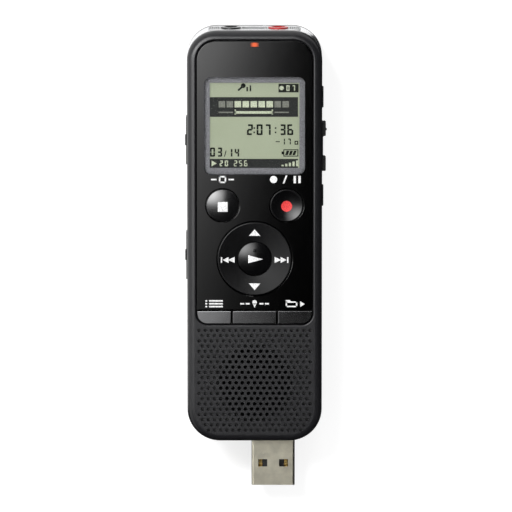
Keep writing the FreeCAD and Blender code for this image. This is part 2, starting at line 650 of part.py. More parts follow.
def make_front_housing():
    body = new_body("front_housing")
    outline = sketch(body, "outline", "XY_Plane", "seam_level + seam_gap / 2")
    draw_case_outline(outline)
    pad(body, outline, "face_level - seam_level - seam_gap / 2")
    round_edges(body, "front_round", lambda edge: lies_at(edge, mm("face_level")))

    cavity = sketch(body, "cavity", "XY_Plane", "base_level")
    draw_case_outline(cavity, "side_wall")
    pocket(body, cavity, "base_level - seam_level")

    recess = sketch(body, "recess", "XY_Plane", "face_level")
    draw_box(
        recess,
        ("-half + panel_inset", "half - panel_inset"),
        ("foot + recess_foot", "top - panel_inset"),
        low="recess_foot_corner",
        high="recess_top_corner",
    )
    pocket(body, recess, "panel_thick")
    level, side = mm("face_level"), mm("half - panel_inset") + 1e-3
    low, high = mm("foot + recess_foot") - 1e-3, mm("top - panel_inset") + 1e-3
    round_edges(body, "rim_round", lambda edge: (
        lies_at(edge, level)
        and -side < edge.BoundBox.XMin and edge.BoundBox.XMax < side
        and low < edge.BoundBox.YMin and edge.BoundBox.YMax < high
    ))

    # room for the band, which takes the place of the side wall at the jack end
    band_room = sketch(body, "band_room", "XY_Plane", "band_high")
    draw_box(band_room, ("-half - beyond", "half + beyond"), ("top - band_drop", "top + beyond"))
    pocket(body, band_room, "band_high - seam_level + beyond")

    openings = sketch(body, "openings", "XY_Plane", "seat_level")
    draw_box(
        openings,
        ("-window_width / 2 - key_gap", "window_width / 2 + key_gap"),
        ("window_y - window_height / 2 - key_gap", "window_y + window_height / 2 + key_gap"),
        low="window_corner",
        high="window_corner",
    )
    for x in ROUND_KEYS.values():
        draw_circle(openings, x, "foot + round_key_y", "round_key + key_gap")
    draw_circle(openings, "0", "foot + ring_y", "ring_outer + key_gap")
    draw_box(
        openings,
        ("-lamp_half - lamp_gap", "lamp_half + lamp_gap"),
        ("top - lamp_drop - lamp_tall / 2 - lamp_gap", "top - lamp_drop + lamp_tall / 2 + lamp_gap"),
    )
    for low, high in ROW_KEYS.values():
        middle = f"(({low}) + ({high})) / 2"
        draw_box(
            openings,
            (f"{middle} - row_stem_long - key_gap", f"{middle} + row_stem_long + key_gap"),
            ("row_y - row_stem - key_gap", "row_y + row_stem + key_gap"),
        )
    pocket(body, openings, "front_wall")

    thin = sketch(body, "thin", "XY_Plane", "base_level")
    draw_circle(thin, "0", "foot + speaker_y", "speaker_radius + rib_gap")
    pocket(body, thin, "front_wall - grille_wall", back=True)

    rib = sketch(body, "speaker_rib", "XY_Plane", "base_level")
    draw_circle(rib, "0", "foot + speaker_y", "speaker_radius + rib_gap")
    draw_circle(rib, "0", "foot + speaker_y", "speaker_radius + rib_gap + rib_thick")
    pad(body, rib, "base_level - speaker_back", back=True)

    bosses = sketch(body, "bosses", "XY_Plane", "base_level")
    for x, y in CASE_SCREWS:
        draw_circle(bosses, x, y, "boss_radius")
    pad(body, bosses, "base_level - seam_level - seam_gap / 2", back=True)
    posts = sketch(body, "posts", "XY_Plane", "base_level")
    for x, y in BOARD_SCREWS:
        draw_circle(posts, x, y, "2 * board_screw_radius")
    pad(body, posts, "base_level - board_top", back=True)

    pilots = sketch(body, "pilots", "XY_Plane", "seam_level")
    for x, y in CASE_SCREWS:
        draw_circle(pilots, x, y, "screw_radius + thread_play")
    pocket(body, pilots, "screw_well + screw_length - seam_level + pilot_end", back=True)
    board_pilots = sketch(body, "board_pilots", "XY_Plane", "board_top")
    for x, y in BOARD_SCREWS:
        draw_circle(board_pilots, x, y, "board_screw_radius + thread_play")
    pocket(body, board_pilots, "base_level - board_top", back=True)

    # side controls: raised strips and slots on the left, three openings on the right
    strips = sketch(body, "strips", "YZ_Plane", "-half")
    for y in ("hold_y", "noise_y"):
        draw_box(
            strips,
            (f"foot + {y} - bezel_length / 2", f"foot + {y} + bezel_length / 2"),
            ("side_level - bezel_tall / 2", "side_level + bezel_tall / 2"),
            low="bezel_tall / 4",
            high="bezel_tall / 4",
        )
    pad(body, strips, "bezel_rise", back=True)
    slots = sketch(body, "slots", "YZ_Plane", "-half - bezel_rise")
    for y in ("hold_y", "noise_y"):
        reach = "slider_length / 2 + slider_travel + slider_gap"
        draw_box(
            slots,
            (f"foot + {y} - ({reach})", f"foot + {y} + {reach}"),
            ("side_level - slider_tall / 2 - slider_gap", "side_level + slider_tall / 2 + slider_gap"),
        )
    pocket(body, slots, "side_wall + bezel_rise + wall_pass", back=True)
    doors = sketch(body, "side_openings", "YZ_Plane", "half")
    for y, length, tall in (
        ("repeat_y", "button_length", "button_tall"),
        ("rocker_y", "rocker_length", "rocker_tall"),
        ("scene_y", "button_length", "button_tall"),
    ):
        draw_box(
            doors,
            (f"foot + {y} - {length} / 2 - key_gap", f"foot + {y} + {length} / 2 + key_gap"),
            (f"side_level - {tall} / 2 - key_gap", f"side_level + {tall} / 2 + key_gap"),
            low="button_tall / 4",
            high="button_tall / 4",
        )
    pocket(body, doors, "side_wall + wall_pass")

    # the plug's way out through the foot wall
    mouth = sketch(body, "mouth", "XZ_Plane", "-foot")
    draw_box(
        mouth,
        ("plug_x - plug_width / 2 - plug_play", "plug_x + plug_width / 2 + plug_play"),
        ("seam_level - beyond", "plug_level + plug_height / 2 + plug_play"),
    )
    pocket(body, mouth, "side_wall + wall_pass")

    holes = sketch(body, "holes", "XY_Plane", "face_level")
    dimples = sketch(body, "dimples", "XY_Plane", "face_level")
    for profile, radius, is_open in ((holes, "hole_radius", True), (dimples, "dimple_radius", False)):
        circles = [
            Part.Circle(V(x, y, 0), V(0, 0, 1), mm(radius))
            for x, y, over_speaker in grille_points()
            if over_speaker is is_open
        ]
        profile.addGeometry(circles, False)
    pocket(body, holes, "front_wall")
    pocket(body, dimples, "dimple_depth")
    return piece("front_housing", body)


# ---------------------------------------------------------------- rear housing
def make_rear_housing():
    body = new_body("rear_housing")
    outline = sketch(body, "outline", "XY_Plane")
    draw_case_outline(outline)
    pad(body, outline, "seam_level - seam_gap / 2")
    round_edges(body, "back_round", lambda edge: lies_at(edge, 0.0))

    cavity = sketch(body, "cavity", "XY_Plane", "back_wall")
    draw_case_outline(cavity, "side_wall")
    pocket(body, cavity, "seam_level - back_wall", back=True)

    band_room = sketch(body, "band_room", "XY_Plane", "band_low")
    draw_box(band_room, ("-half - beyond", "half + beyond"), ("top - band_drop", "top + beyond"))
    pocket(body, band_room, "seam_level - band_low", back=True)

    bosses = sketch(body, "bosses", "XY_Plane", "back_wall")
    for x, y in CASE_SCREWS:
        draw_circle(bosses, x, y, "boss_radius")
    pad(body, bosses, "seam_level - seam_gap / 2 - back_wall")
    rails = sketch(body, "rails", "XY_Plane", "back_wall")
    for side in ("-1", "1"):
        near = f"plug_x + {side} * (carriage_half + carriage_play)"
        far = f"plug_x + {side} * (carriage_half + carriage_play + rib_thick)"
        draw_box(
            rails,
            (far, near) if side == "-1" else (near, far),
            ("foot + side_wall", "rail_end"),
        )
    pad(body, rails, "seam_level - seam_gap / 2 - back_wall")

    holes = sketch(body, "holes", "XY_Plane")
    wells = sketch(body, "wells", "XY_Plane")
    for x, y in CASE_SCREWS:
        draw_circle(holes, x, y, "screw_radius + screw_play")
        draw_circle(wells, x, y, "screw_head + screw_play")
    pocket(body, holes, "seam_level", back=True)
    pocket(body, wells, "screw_well", back=True)

    # the door closes on a ledge around the opening of the battery bay
    door_seat = sketch(body, "door_seat", "XY_Plane")
    draw_box(
        door_seat,
        ("-door_half - door_gap", "door_half + door_gap"),
        ("hinge_line - door_thick / 2 - door_gap", "door_end + door_gap"),
    )
    pocket(body, door_seat, "door_thick + door_gap / 2", back=True)
    bay = sketch(body, "bay_opening", "XY_Plane")
    draw_box(
        bay,
        ("-door_half + ledge_width", "door_half - ledge_width"),
        ("tray_foot + bay_wall / 2", "tray_top - bay_wall / 4"),
    )
    pocket(body, bay, "back_wall", back=True)
    latch_room = sketch(body, "latch_room", "XY_Plane")
    draw_box(
        latch_room,
        ("-latch_half - latch_room", "latch_half + latch_room"),
        ("tray_top - bay_wall / 2", "door_end - latch_nose"),
    )
    pocket(body, latch_room, "back_wall", back=True)
    pin_hole = sketch(body, "pin_hole", "YZ_Plane", "-door_half - hinge_bite")
    draw_circle(pin_hole, "hinge_line", "door_thick / 2", "hinge_pin")
    pocket(body, pin_hole, "2 * door_half + 2 * hinge_bite", back=True)

    # the track of the slide lever, and the slot for its stem
    track = sketch(body, "track", "XY_Plane")
    reach = "lever_length / 2 + lever_play"
    draw_box(
        track,
        ("plug_x - lever_half - lever_play", "plug_x + lever_half + lever_play"),
        (f"foot + lever_y - ({reach})", f"foot + lever_y + {reach} + plug_travel"),
        low="track_corner",
        high="track_corner",
    )
    pocket(body, track, "lever_well", back=True)
    stem_slot = sketch(body, "stem_slot", "XY_Plane")
    draw_box(
        stem_slot,
        ("plug_x - lever_stem - lever_play", "plug_x + lever_stem + lever_play"),
        (
            "foot + lever_y - lever_stem - lever_play",
            "foot + lever_y + lever_stem + lever_play + plug_travel",
        ),
    )
    pocket(body, stem_slot, "back_wall", back=True)

    mouth = sketch(body, "mouth", "XZ_Plane", "-foot")
    draw_box(
        mouth,
        ("plug_x - plug_width / 2 - plug_play", "plug_x + plug_width / 2 + plug_play"),
        ("plug_level - plug_height / 2 - plug_play", "seam_level + beyond"),
    )
    pocket(body, mouth, "side_wall + wall_pass")
    return piece("rear_housing", body)


# ---------------------------------------------------------------- band and jack plate
def jack_places():
    return (("headphone", "-jack_x"), ("microphone", "jack_x"))


def make_top_band():
    body = new_body("top_band")
    outline = sketch(body, "outline", "XY_Plane", "band_low")
    draw_box(outline, ("-half", "half"), ("top - band_drop", "top"), high="top_corner")
    pad(body, outline, "band_high - band_low")
    inside = sketch(body, "inside", "XY_Plane", "band_low")
    draw_box(
        inside,
        ("-half + band_wall", "half - band_wall"),
        ("top - band_drop - beyond", "top - band_wall"),
        high="top_corner - band_wall",
    )
    pocket(body, inside, "band_high - band_low", back=True)
    seat = sketch(body, "plate_seat", "XZ_Plane", "-top")
    draw_box(
        seat,
        ("-plate_half - plate_gap", "plate_half + plate_gap"),
        ("band_low + plate_margin - plate_gap", "band_high - plate_margin + plate_gap"),
    )
    pocket(body, seat, "plate_thick", back=True)
    holes = sketch(body, "holes", "XZ_Plane", "-top")
    for _, x in jack_places():
        draw_circle(holes, x, "jack_level", "jack_nose + jack_play")
    for side in ("-1", "1"):
        draw_circle(holes, f"{side} * mic_x", "jack_level", "mic_radius - boot_lip")
    pocket(body, holes, "band_wall", back=True)
    # the band's rounded corners make room for the microphones' boots
    seats = sketch(body, "microphone_seats", "XZ_Plane", "-(top - band_wall)")
    for side in ("-1", "1"):
        draw_circle(seats, f"{side} * mic_x", "jack_level", "mic_radius + boot_thick + boot_play")
    pocket(body, seats, "mic_deep + boot_thick", back=True)
    return piece("top_band", body)


def make_jack_plate():
    body = new_body("jack_plate")
    outline = sketch(body, "outline", "XZ_Plane", "-top")
    draw_box(outline, ("-plate_half", "plate_half"), ("band_low + plate_margin", "band_high - plate_margin"))
    pad(body, outline, "plate_thick")
    holes = sketch(body, "holes", "XZ_Plane", "-top")
    for _, x in jack_places():
        draw_circle(holes, x, "jack_level", "jack_nose + jack_play")
    pitch = mm("mic_pitch")
    for side in (-1, 1):
        for column in range(-2, 3):
            for line in range(-3, 4):
                x, z = side * mm("mic_x") + column * pitch, mm("jack_level") + line * pitch
                holes.addGeometry(Part.Circle(V(x, z, 0), V(0, 0, 1), mm("mic_hole")), False)
    pocket(body, holes, "plate_thick", back=True)
    groove = sketch(body, "groove", "XZ_Plane", "-top")
    draw_box(
        groove,
        ("-jack_x + jack_nose + groove_margin", "jack_x - jack_nose - groove_margin"),
        ("jack_level - jack_nose / 2", "jack_level + jack_nose / 2"),
        low="jack_nose / 4",
        high="jack_nose / 4",
    )
    pocket(body, groove, "plate_groove", back=True)
    return piece("jack_plate", body)


# ---------------------------------------------------------------- panel, window and display
def make_front_panel():
    body = new_body("front_panel")
    outline = sketch(body, "outline", "XY_Plane", "seat_level")
    draw_box(
        outline,
        ("-half + panel_inset + panel_gap", "half - panel_inset - panel_gap"),
        ("foot + panel_foot", "top - panel_inset - panel_gap"),
        low="panel_gap",
        high="recess_top_corner - panel_gap",
    )
    pad(body, outline, "panel_thick")
    round_edges(body, "edge_round", lambda edge: lies_at(edge, mm("face_level")))
    key_holes = sketch(body, "key_holes", "XY_Plane", "face_level")
    for x in ROUND_KEYS.values():
        draw_circle(key_holes, x, "foot + round_key_y", "round_key + key_gap")
    draw_circle(key_holes, "0", "foot + ring_y", "ring_outer + key_gap")
    pocket(body, key_holes, "panel_thick")
    round_edges(body, "edge_round", lambda edge: lies_at(edge, mm("face_level")) and len(edge.Vertexes) == 1)
    holes = sketch(body, "holes", "XY_Plane", "face_level")
    draw_box(
        holes,
        ("-window_width / 2 - window_gap", "window_width / 2 + window_gap"),
        (
            "window_y - window_height / 2 - window_gap",
            "window_y + window_height / 2 + window_gap",
        ),
        low="window_corner + window_gap",
        high="window_corner + window_gap",
    )
    draw_box(
        holes,
        ("-lamp_half - lamp_gap", "lamp_half + lamp_gap"),
        ("top - lamp_drop - lamp_tall / 2 - lamp_gap", "top - lamp_drop + lamp_tall / 2 + lamp_gap"),
    )
    pocket(body, holes, "panel_thick")
    return piece("front_panel", body)


def window_area(profile, grow, corner):
    """The display window's outline, grown on all sides."""
    draw_box(
        profile,
        (f"-window_width / 2 - ({grow})", f"window_width / 2 + {grow}"),
        (f"window_y - window_height / 2 - ({grow})", f"window_y + window_height / 2 + {grow}"),
        low=corner,
        high=corner,
    )


def screen_area(profile, grow):
    """The visible part of the display, grown on all sides."""
    draw_box(
        profile,
        (f"-screen_width / 2 - ({grow})", f"screen_width / 2 + {grow}"),
        (f"window_y - screen_height / 2 - ({grow})", f"window_y + screen_height / 2 + {grow}"),
    )


def make_display():
    window = new_body("display_window")
    outline = sketch(window, "outline", "XY_Plane", "seat_level")
    window_area(outline, "0", "window_corner")
    pad(window, outline, "panel_thick")
    piece("display_window", window)

    frame = new_body("display_frame")
    upper = sketch(frame, "upper", "XY_Plane", "base_level")
    window_area(upper, "0", "window_corner")
    pad(frame, upper, "seat_level - base_level")
    flange = sketch(frame, "flange", "XY_Plane", "board_top")
    window_area(flange, "frame_flange", "window_corner")
    pad(frame, flange, "base_level - board_top")
    room = sketch(frame, "room", "XY_Plane", "board_top")
    screen_area(room, "glass_border + key_gap / 2")
    pocket(frame, room, "glass_top - board_top", back=True)
    opening = sketch(frame, "opening", "XY_Plane", "glass_top")
    screen_area(opening, "0")
    pocket(frame, opening, "frame_lip", back=True)
    piece("display_frame", frame)

    x = ("-screen_width / 2 - glass_border", "screen_width / 2 + glass_border")
    y = (
        "window_y - screen_height / 2 - glass_border",
        "window_y + screen_height / 2 + glass_border",
    )
    piece("display_glass", block("display_glass", x, y, ("glass_low", "glass_top")))
    piece("display_backlight", block("display_backlight", x, y, ("board_top", "glass_low")))


# ---------------------------------------------------------------- boards
def make_boards():
    body = new_body("main_board")
    outline = sketch(body, "outline", "XY_Plane", "board_level")
    edge = "half - band_wall - board_gap"
    draw_box(
        outline,
        (f"-({edge})", edge),
        ("foot + board_foot", "top - band_wall - board_gap"),
        low="board_gap",
        high="top_corner - band_wall - board_gap",
    )
    pad(body, outline, "board_thick")
    notches = sketch(body, "notches", "XY_Plane", "board_level")
    for x, y in CASE_SCREWS[2:]:
        outward = f"{x} * half / top_screw_x"
        inward = f"{x} * (1 - (boss_radius + boss_play) / top_screw_x)"
        sides = (outward, inward) if x.startswith("-") else (inward, outward)
        draw_box(notches, sides, (f"{y} - boss_radius - boss_play", "top"))
    pocket(body, notches, "board_thick", back=True)
    holes = sketch(body, "holes", "XY_Plane", "board_level")
    for x, y in BOARD_SCREWS:
        draw_circle(holes, x, y, "board_screw_radius + screw_play")
    pocket(body, holes, "board_thick", back=True)
    piece("main_board", body)

    for name, x, half_width, y, half_length in (
        ("processor", "-chip_x", "processor_half", "foot + processor_y", "processor_half"),
        ("memory_chip", "chip_x", "memory_half", "foot + memory_y", "memory_length / 2"),
    ):
        chip = block(
            name,
            (f"{x} - {half_width}", f"{x} + {half_width}"),
            (f"{y} - {half_length}", f"{y} + {half_length}"),
            ("board_level - chip_thick", "board_level"),
        )
        piece(name, chip)


# ---------------------------------------------------------------- keys on the front
def key_stem(name, x, y, radius, top):
    """A round key from its foot up to a level, with the flange that keeps it in the case."""
    stem = rod(name + "_stem", "Z", (x, y, "key_foot"), radius, f"({top}) - (key_foot)")
    flange_radius = f"{radius} + key_gap + key_flange"
    flange = rod(name + "_flange", "Z", (x, y, "flange_top - flange_thick"), flange_radius, "flange_thick")
    return stem, flange


def is_upper_ring(edge):
    """Whether an edge is a level ring near the top of a key."""
    level = edge.BoundBox.ZMax
    return len(edge.Vertexes) == 1 and lies_at(edge, level) and level > mm("seat_level")


def domed_key(name, x, y, radius, crown, ball_radius):
    """A round key whose top is part of a ball."""
    stem, flange = key_stem(name, x, y, radius, f"face_level + {crown}")
    dome = ball(name + "_dome", (x, y, f"face_level + {crown} - {ball_radius}"), ball_radius)
    top = soften(name + "_eased", shared(name + "_top", stem, dome), "edge_round", is_upper_ring)
    return join(name + "_body", top, flange)


def make_round_keys():
    y = "foot + round_key_y"
    piece("stop_key", domed_key("stop_key", "-round_key_x", y, "round_key", "stop_crown", "stop_ball"))
    stem, flange = key_stem("record_key", "round_key_x", y, "round_key", "face_level + record_rim")
    dish_z = "face_level - record_floor + record_dish"
    dish = ball("record_key_dish", ("round_key_x", y, dish_z), "record_dish")
    eased = soften("record_key_eased", stem, "edge_round / 2", is_upper_ring)
    piece("record_key", cut("record_key", join("record_key_body", eased, flange), dish))

    play = domed_key("play_key", "0", "foot + ring_y", "play_key", "play_crown", "play_ball")
    nub_z = "face_level + play_crown - nub_sunk"
    nub = ball("play_key_nub", ("0", "foot + ring_y + play_key / 2", nub_z), "nub_radius")
    piece("play_key", join("play_key", play, nub))


def make_navigation():
    """The ring tilts forward and back on a plate, which itself tilts from side to side."""
    y = "foot + ring_y"
    low = "key_foot + ring_play"
    rim = "face_level + ring_rise"
    blank = rod("ring_blank", "Z", ("0", y, low), "ring_outer", f"{rim} - ({low})")
    outside = soften("ring_outside", blank, "edge_round", is_upper_ring)
    flange_radius = "ring_outer + key_gap + key_flange"
    flange = rod("ring_flange", "Z", ("0", y, low), flange_radius, "ring_flange")
    bore = rod("ring_bore", "Z", ("0", y, f"{low} - beyond"), "ring_bore", "front_wall + 4 * beyond")
    inside_radius = "ring_outer - ring_skirt"
    inside_height = f"{rim} - ring_web - ({low}) + beyond"
    inside = rod("ring_inside", "Z", ("0", y, f"{low} - beyond"), inside_radius, inside_height)
    face_start = ("0", y, f"{rim} - ring_slope")
    face = frustum("ring_face", face_start, "ring_bore", "ring_outer - ring_land", "ring_slope")
    piece("navigation_ring", cut("navigation_ring", join("ring_body", outside, flange), bore, inside, face))

    plate = rod("rocker_plate", "Z", ("0", y, low), "plate_ring_out", "plate_ring_thick")
    hole = rod("rocker_hole", "Z", ("0", y, f"{low} - beyond"), "plate_ring_in", "3 * beyond")
    start = f"{low} - pusher_drop"
    pushers = [
        rod(f"pusher_{n}", "Z", (x, f"{y} + {dy}", start), "pusher_radius", "2 * pusher_drop")
        for n, (x, dy) in enumerate(DOME_RING)
    ]
    piece("rocker_plate", join("rocker_plate_body", cut("rocker_plate_ring", plate, hole), *pushers))


# Switches under the ring, from the ring's middle.
DOME_REACH = "(plate_ring_in + plate_ring_out) / 2"
DOME_RING = [
    (DOME_REACH, "0"), (f"-{DOME_REACH}", "0"), ("0", DOME_REACH), ("0", f"-{DOME_REACH}"),
]


def make_row_keys():
    for name, (low, high) in ROW_KEYS.items():
        body = new_body(name)
        plate = sketch(body, "plate", "XY_Plane", "seat_level + key_rest")
        draw_box(plate, (low, high), ("row_low", "row_high"))
        pad(body, plate, "panel_thick - key_rest + row_rise")
        outer = {"menu_key": mm(low), "folder_key": mm(high)}.get(name)
        if outer is not None:
            at_corner = lambda edge: (
                runs_along(edge, "z")
                and abs(edge.CenterOfMass.x - outer) < 1e-3
                and abs(edge.CenterOfMass.y - mm("row_low")) < 1e-3
            )
            round_edges(body, "recess_foot_corner - row_gap", at_corner)
        round_edges(body, "panel_gap", lambda edge: lies_at(edge, mm("face_level + row_rise")))
        middle = f"(({low}) + ({high})) / 2"
        stem = sketch(body, "stem", "XY_Plane", "seat_level + key_rest")
        draw_box(
            stem,
            (f"{middle} - row_stem_long", f"{middle} + row_stem_long"),
            ("row_y - row_stem", "row_y + row_stem"),
        )
        pad(body, stem, "seat_level + key_rest - (key_foot)", back=True)
        flange = sketch(body, "flange", "XY_Plane", "flange_top")
        draw_box(
            flange,
            (
                f"{middle} - row_stem_long - key_gap - key_flange",
                f"{middle} + row_stem_long + key_gap + key_flange",
            ),
            ("row_y - row_stem - key_gap", "row_y + row_stem + key_gap"),
        )
        pad(body, flange, "flange_thick", back=True)
        piece(name, body)


def make_switches():
    y = "foot + round_key_y"
    places = [("-round_key_x", y), ("round_key_x", y), ("0", "foot + ring_y")]
    places += [(x, f"foot + ring_y + {dy}") for x, dy in DOME_RING]
    places += [(f"(({low}) + ({high})) / 2", "row_y") for low, high in ROW_KEYS.values()]
    domes = [
        frustum(f"dome_{n}", (x, y, "board_top"), "dome_radius", "dome_radius / 2", "dome_height")
        for n, (x, y) in enumerate(places)
    ]
    piece("dome_switches", group("dome_switches", domes))
    membrane = block(
        "key_membrane",
        ("-membrane_half", "membrane_half"),
        ("row_low - membrane_edge", "foot + round_key_y + round_key + membrane_edge"),
        ("membrane_low", "membrane_top"),
    )
    piece("key_membrane", membrane)


def make_lamp():
    def around(half_width, half_depth):
        y = "top - lamp_drop"
        return (f"-({half_width})", half_width), (f"{y} - ({half_depth})", f"{y} + {half_depth}")

    pipe_z = ("board_top + led_tall + led_gap", "face_level")
    pipe = block("lamp_pipe", *around("lamp_half", "lamp_tall / 2"), pipe_z)
    foot = around("lamp_half + lamp_flange", "lamp_tall / 2 + lamp_flange")
    flange = block("lamp_flange", *foot, ("base_level - lamp_flange", "base_level"))
    piece("indicator_lens", join("indicator_lens", pipe, flange))
    led = block("indicator_led", *around("led_half", "led_deep"), ("board_top", "board_top + led_tall"))
    piece("indicator_led", led)


# ---------------------------------------------------------------- side controls
def make_sliders():
    for name, y in (("hold_slider", "foot + hold_y"), ("noise_slider", "foot + noise_y")):
        knob = block(
            name + "_knob",
            ("-half - slider_rise", "-inner + side_slack + side_flange / 2"),
            (f"{y} - slider_length / 2", f"{y} + slider_length / 2"),
            ("side_level - slider_tall / 2", "side_level + slider_tall / 2"),
        )
        face = mm("-half - slider_rise")
        eased = soften(name + "_eased", knob, "edge_round", lambda edge: edge.BoundBox.XMax < face + 1e-4)
        reach = "slider_length / 2 + slider_travel + slider_gap + side_lap"
        flange = block(
            name + "_flange",
            ("-inner + side_slack", "-inner + side_slack + side_flange"),
            (f"{y} - ({reach})", f"{y} + {reach}"),
            ("side_level - slider_tall / 2 - side_lap", "side_level + slider_tall / 2 + side_lap"),
        )
        piece(name, join(name, eased, flange))


def make_side_buttons():
    for name, y in (("repeat_button", "foot + repeat_y"), ("scene_button", "foot + scene_y")):
        body = new_body(name)
        plate = sketch(body, "plate", "YZ_Plane", "half + button_rise")
        draw_box(
            plate,
            (f"{y} - button_length / 2", f"{y} + button_length / 2"),
            ("side_level - button_tall / 2", "side_level + button_tall / 2"),
            low="button_tall / 4",
            high="button_tall / 4",
        )
        pad(body, plate, "button_rise + side_wall + side_slack + side_flange / 2", back=True)
        face = mm("half + button_rise")
        round_edges(body, "edge_round", lambda edge: edge.BoundBox.XMin > face - 1e-4)
        flange = sketch(body, "flange", "YZ_Plane", "inner - side_slack")
        draw_box(
            flange,
            (f"{y} - button_length / 2 - side_lap", f"{y} + button_length / 2 + side_lap"),
            ("side_level - button_tall / 2 - side_lap", "side_level + button_tall / 2 + side_lap / 2"),
        )
        pad(body, flange, "side_flange", back=True)
        piece(name, body)


def make_volume_rocker():
    y = "foot + rocker_y"
    body = new_body("volume_rocker")
    profile = sketch(body, "profile", "XY_Plane", "side_level - rocker_tall / 2")
    draw_box(
        profile,
        ("inner - key_rest - side_slack", "half + rocker_rise"),
        (f"{y} - rocker_length / 2", f"{y} + rocker_length / 2"),
    )
    pad(body, profile, "rocker_tall")
    waist = sketch(body, "waist", "XY_Plane", "side_level - rocker_tall / 2")
    draw_box(
        waist,
        ("half + rocker_rise - rocker_valley", "half + rocker_rise + beyond"),
        (f"{y} - rocker_waist", f"{y} + rocker_waist"),
    )
    pocket(body, waist, "rocker_tall", back=True)
    bend = mm("half + rocker_rise - rocker_valley")
    humps = lambda edge: runs_along(edge, "z") and edge.BoundBox.XMin > bend - 1e-4
    round_edges(body, "rocker_valley * 0.45", humps)
    flange = sketch(body, "flange", "YZ_Plane", "inner - key_rest")
    draw_box(
        flange,
        (f"{y} - rocker_length / 2 - side_lap", f"{y} + rocker_length / 2 + side_lap"),
        ("side_level - rocker_tall / 2 - side_lap", "side_level + rocker_tall / 2 + side_lap / 2"),
    )
    pad(body, flange, "side_flange", back=True)
    nub_y = f"{y} + rocker_length / 2 - nub_inset"
    nub = ball("rocker_nub", ("half + rocker_rise - nub_sunk", nub_y, "side_level"), "nub_radius")
    rib_start = ("rocker_back", y, "side_level - rocker_tall / 2")
    rib = rod("rocker_rib_rod", "Z", rib_start, "rocker_rib", "rocker_tall")
    piece("volume_rocker", join("volume_rocker_and_nub", body, nub, rib))


def make_side_switches():
    """Slide and push switches, and the rocker's rest, on the rear face of the main board."""
    z = ("side_level - switch_drop", "board_level")
    left, right = ("-(switch_x)", "-switch_back"), ("switch_back", "switch_x")
    under_rocker = ("switch_back", "switch_x - key_rest")
    behind_rib = ("switch_back", "rocker_back - rocker_rib - rib_play")
    switches = [
        block(f"side_switch_{n}", x, (f"foot + {y} - {half_length}", f"foot + {y} + {half_length}"), z)
        for n, (x, y, half_length) in enumerate((
            (left, "hold_y", "slide_switch"),
            (left, "noise_y", "slide_switch"),
            (right, "repeat_y", "push_switch"),
            (right, "scene_y", "push_switch"),
            (under_rocker, "rocker_y - volume_switch_y", "volume_switch"),
            (under_rocker, "rocker_y + volume_switch_y", "volume_switch"),
            (behind_rib, "rocker_y", "rest_half"),
        ))
    ]
    piece("side_switches", group("side_switches", switches))


# ---------------------------------------------------------------- battery bay
def make_tray():
    body = new_body("battery_tray")
    outline = sketch(body, "outline", "XY_Plane", "back_wall")
    draw_box(outline, ("-bay_half - bay_wall", "bay_half + bay_wall"), ("tray_foot", "tray_top"))
    pad(body, outline, "roof_low + bay_roof - back_wall")
    bay = sketch(body, "bay", "XY_Plane", "back_wall")
    draw_box(bay, ("-bay_half", "bay_half"), ("bay_low", "bay_high"))
    pocket(body, bay, "roof_low - back_wall", back=True)
    return piece("battery_tray", body)


def make_cells():
    length = "cell_length - nub_length"
    low = "bay_low + leaf_thick + spring_length"
    x = "-(cell_x)"
    can = rod("left_can", "Y", (x, low, "cell_level"), "cell_radius", length)
    nub = rod("left_nub", "Y", (x, f"{low} + {length}", "cell_level"), "cell_nub", "nub_length")
    piece("battery_left", join("battery_left", can, nub))
    low = "bay_low + leaf_thick + leaf_dent + cell_play"
    can = rod("right_can", "Y", ("cell_x", f"{low} + nub_length", "cell_level"), "cell_radius", length)
    nub = rod("right_nub", "Y", ("cell_x", low, "cell_level"), "cell_nub", "nub_length")
    piece("battery_right", join("battery_right", can, nub))


def leaf(name, x, y, dent_x=None, dent_toward="1"):
    """A contact plate of the battery bay, with a dome pressed towards the cell where dent_x says."""
    z = ("back_wall + leaf_gap", "roof_low - leaf_gap")
    plate = block(name + "_plate", x, (y, f"{y} + leaf_thick"), z)
    if dent_x is None:
        return plate
    start = f"{y} + leaf_thick" if dent_toward == "1" else f"{y} - leaf_dent"
    dome = rod(name + "_dome", "Y", (dent_x, start, "cell_level"), "leaf_dome", "leaf_dent")
    return join(name, plate, dome)


def make_contacts():
    x_left = ("-(cell_x) - leaf_half", "-(cell_x) + leaf_half")
    x_right = ("cell_x - leaf_half", "cell_x + leaf_half")
    bridge = leaf("contact_bridge", (x_left[0], x_right[1]), "bay_low", dent_x="cell_x")
    piece("contact_bridge", bridge)
    top_y = "bay_high - leaf_thick"
    piece("contact_positive", leaf("contact_positive", x_left, top_y, dent_x="-(cell_x)", dent_toward="-1"))
    piece("contact_negative", leaf("contact_negative", x_right, top_y))
    coils = (
        ("spring_left", "-(cell_x)", "bay_low + leaf_thick + spring_wire"),
        ("spring_right", "cell_x", "bay_high - leaf_thick - spring_length + spring_wire"),
    )
    for name, x, y in coils:
        helix = doc.addObject("Part::Helix", name + "_path")
        helix.Placement = FreeCAD.Placement(V(), TURNS["Y"])
        bind(helix, Pitch="spring_pitch", Height="spring_length - 2 * spring_wire", Radius="spring_radius")
        place(helix, x, y, "cell_level")
        wire = doc.addObject("Part::Circle", name + "_wire")
        wire.Placement = FreeCAD.Placement()
        bind(wire, Radius="spring_wire")
        place(wire, f"{x} + spring_radius", y, "cell_level")
        coil = doc.addObject("Part::Sweep", name)
        coil.Sections = [wire]
        coil.Spine = (helix, ["Edge1"])
        coil.Solid = True
        coil.Frenet = True
        piece(name, coil)


